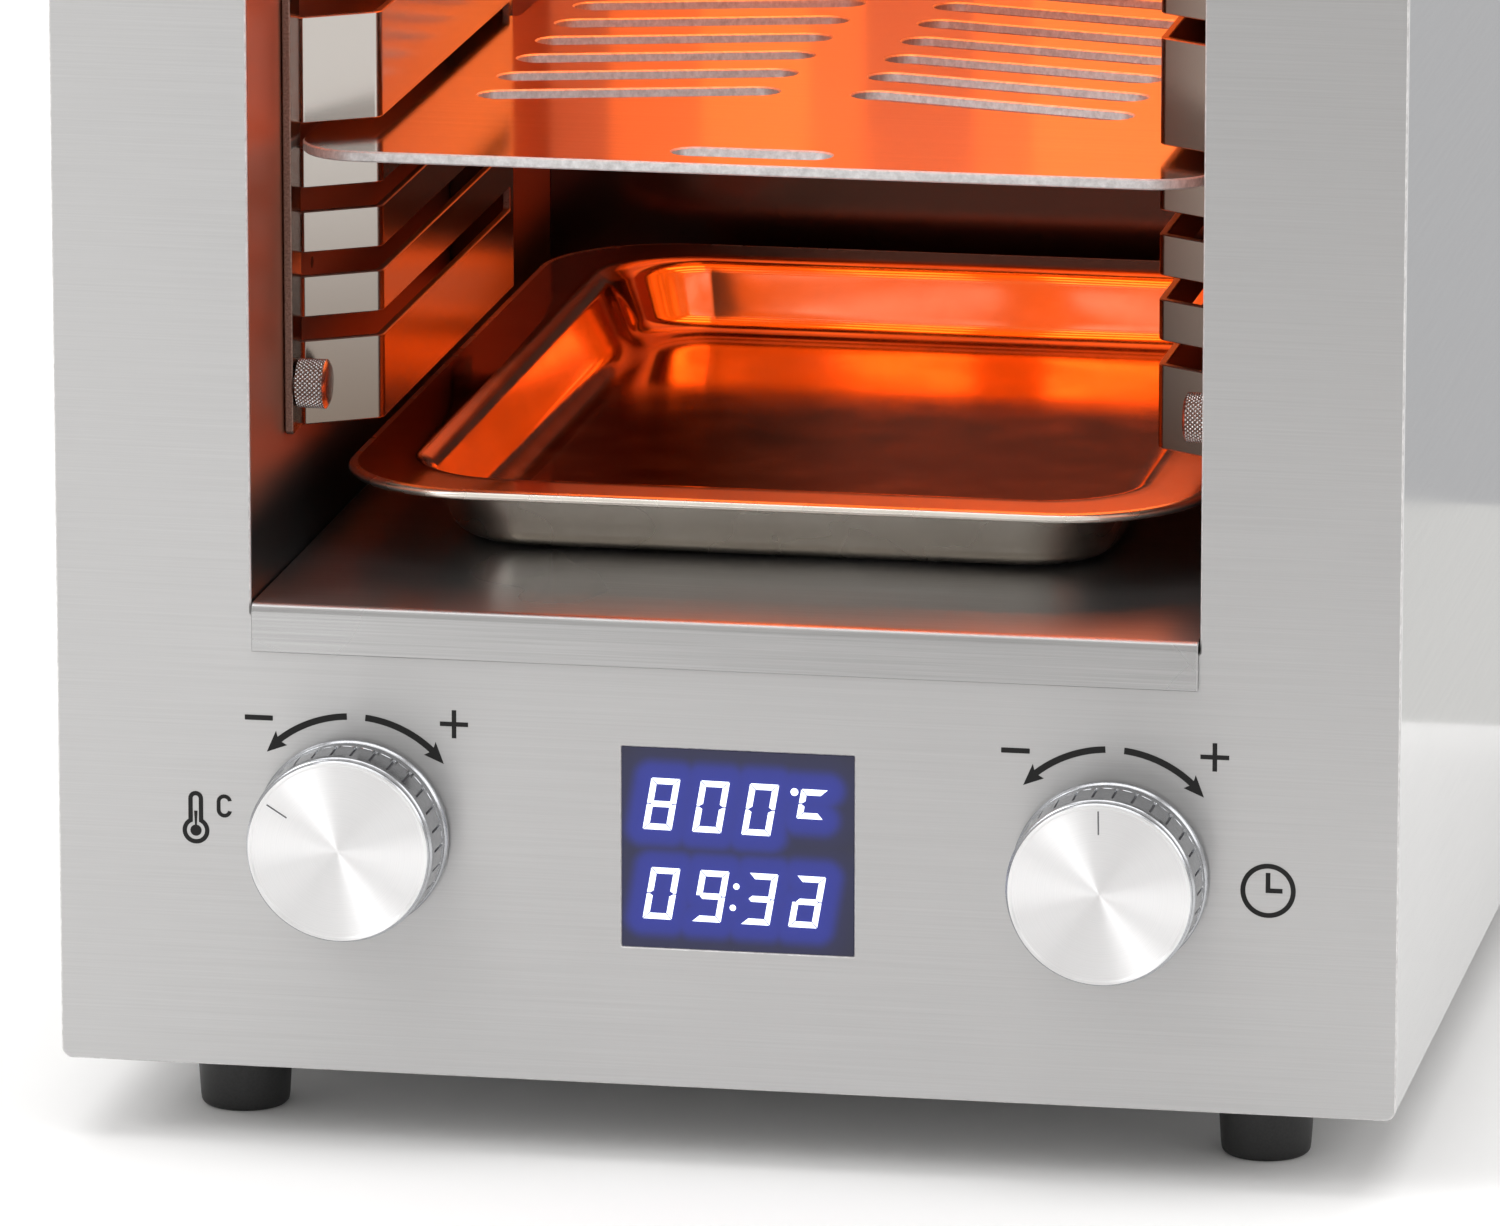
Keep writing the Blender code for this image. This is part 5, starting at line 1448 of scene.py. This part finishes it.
socket_back = inlet_low.y
mouth_x, mouth_z = body_half_x - 2.4 * MM, body_half_z - 2.4 * MM
lean = 3.5 * MM
mouth = [(inlet_x - mouth_x, inlet_z - mouth_z), (inlet_x + mouth_x, inlet_z - mouth_z),
         (inlet_x + mouth_x, inlet_z + mouth_z - lean), (inlet_x + mouth_x - lean, inlet_z + mouth_z),
         (inlet_x - mouth_x + lean, inlet_z + mouth_z), (inlet_x - mouth_x, inlet_z + mouth_z - lean)]
flange_low = inlet_high.y - 3.0 * MM
holes = [mouth] + [arc(inlet_x + side * 20.0 * MM, inlet_z, 1.7 * MM, 0, 360, 20)[:-1] for side in (-1, 1)]
flange = plate(rounded(inlet_low.x, inlet_low.z, inlet_high.x, inlet_high.z, 4.0 * MM), holes, flange_low,
               inlet_high.y, 0.4 * MM)
piece("inlet_flange", turn_to(flange, "XZY"), plastic, stands_for=["power_inlet"])
body = pocketed(rounded(inlet_x - body_half_x, inlet_z - body_half_z, inlet_x + body_half_x, inlet_z + body_half_z,
                        1.0 * MM, 3), [mouth], flange_low, socket_back + 6.0 * MM, socket_back, 0.3 * MM)
piece("inlet_body", turn_to(body, "XZY"), plastic)
pins = bmesh.new()
for x, z in ((inlet_x, inlet_z + 2.0 * MM), (inlet_x - 7.0 * MM, inlet_z - 2.0 * MM),
             (inlet_x + 7.0 * MM, inlet_z - 2.0 * MM)):
    pin = plate(rounded(x - 1.0 * MM, z - 2.0 * MM, x + 1.0 * MM, z + 2.0 * MM, 0.3 * MM, 3), [],
                socket_back + 6.0 * MM, flange_low - 1.0 * MM, 0.3 * MM)
    mesh = bpy.data.meshes.new("pin")
    turn_to(pin, "XZY").to_mesh(mesh)
    pin.free()
    pins.from_mesh(mesh)
    bpy.data.meshes.remove(mesh)
piece("inlet_pins", pins, screw_metal)


# ---------------------------------------------------------------- parts inside the bay
# These keep their plain shapes: boards, relay on its heat sink, transformer, encoders, shafts and nuts.

solder_mask = moulded("solder_mask", (0.012, 0.085, 0.035), (0.020, 0.13, 0.05), (0.25, 0.35), scale=260.0,
                      relief=0.05)
anodised = moulded("anodised_aluminium", (0.42, 0.43, 0.45), (0.52, 0.53, 0.55), (0.35, 0.45), scale=3000.0,
                   metallic=1.0)
finishes = {
    solder_mask: ("control_board", "power_board"),
    anodised: ("heat_sink",),
    plastic: ("transformer", "relay", "display_module", "safety_cutout", "temperature_encoder", "timer_encoder"),
    screw_metal: ("temperature_shaft", "timer_shaft", "temperature_nut", "timer_nut", "foot_screw_front_left",
                  "foot_screw_front_right", "foot_screw_rear_left", "foot_screw_rear_right"),
}
for coat, names in finishes.items():
    for name in names:
        for material_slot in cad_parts[name].material_slots:
            material_slot.material = coat


# ---------------------------------------------------------------- feet
# Moulded black rubber, tapered, with a soft lower edge and a recess for the fixing screw.

rubber = moulded("foot_rubber", (0.012, 0.012, 0.012), (0.024, 0.024, 0.024), (0.46, 0.54))
for label in ("front_left", "front_right", "rear_left", "rear_right"):
    low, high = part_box("foot_" + label)
    centre = ((low.x + high.x) / 2, (low.y + high.y) / 2, 0.0)
    height = high.z
    profile = [(2.7 * MM, 9.4 * MM), (5.0 * MM, 9.4 * MM), (5.0 * MM, 0.6 * MM), (5.6 * MM, 0.0), (6.8 * MM, 0.0)]
    profile += [(6.9 * MM + 1.25 * MM * math.sin(a), 1.25 * MM - 1.25 * MM * math.cos(a))
                for a in [math.radians(15 * i) for i in range(1, 6)]]
    profile += [(8.25 * MM, 2.0 * MM), (8.95 * MM, height - 1.4 * MM), (9.05 * MM, height - 0.5 * MM),
                (8.9 * MM, height), (2.7 * MM, height)]
    foot = lathe(profile, centre, "Z", 64)
    piece("rubber_foot_" + label, foot, rubber, stands_for=["foot_" + label], smooth=40.0)
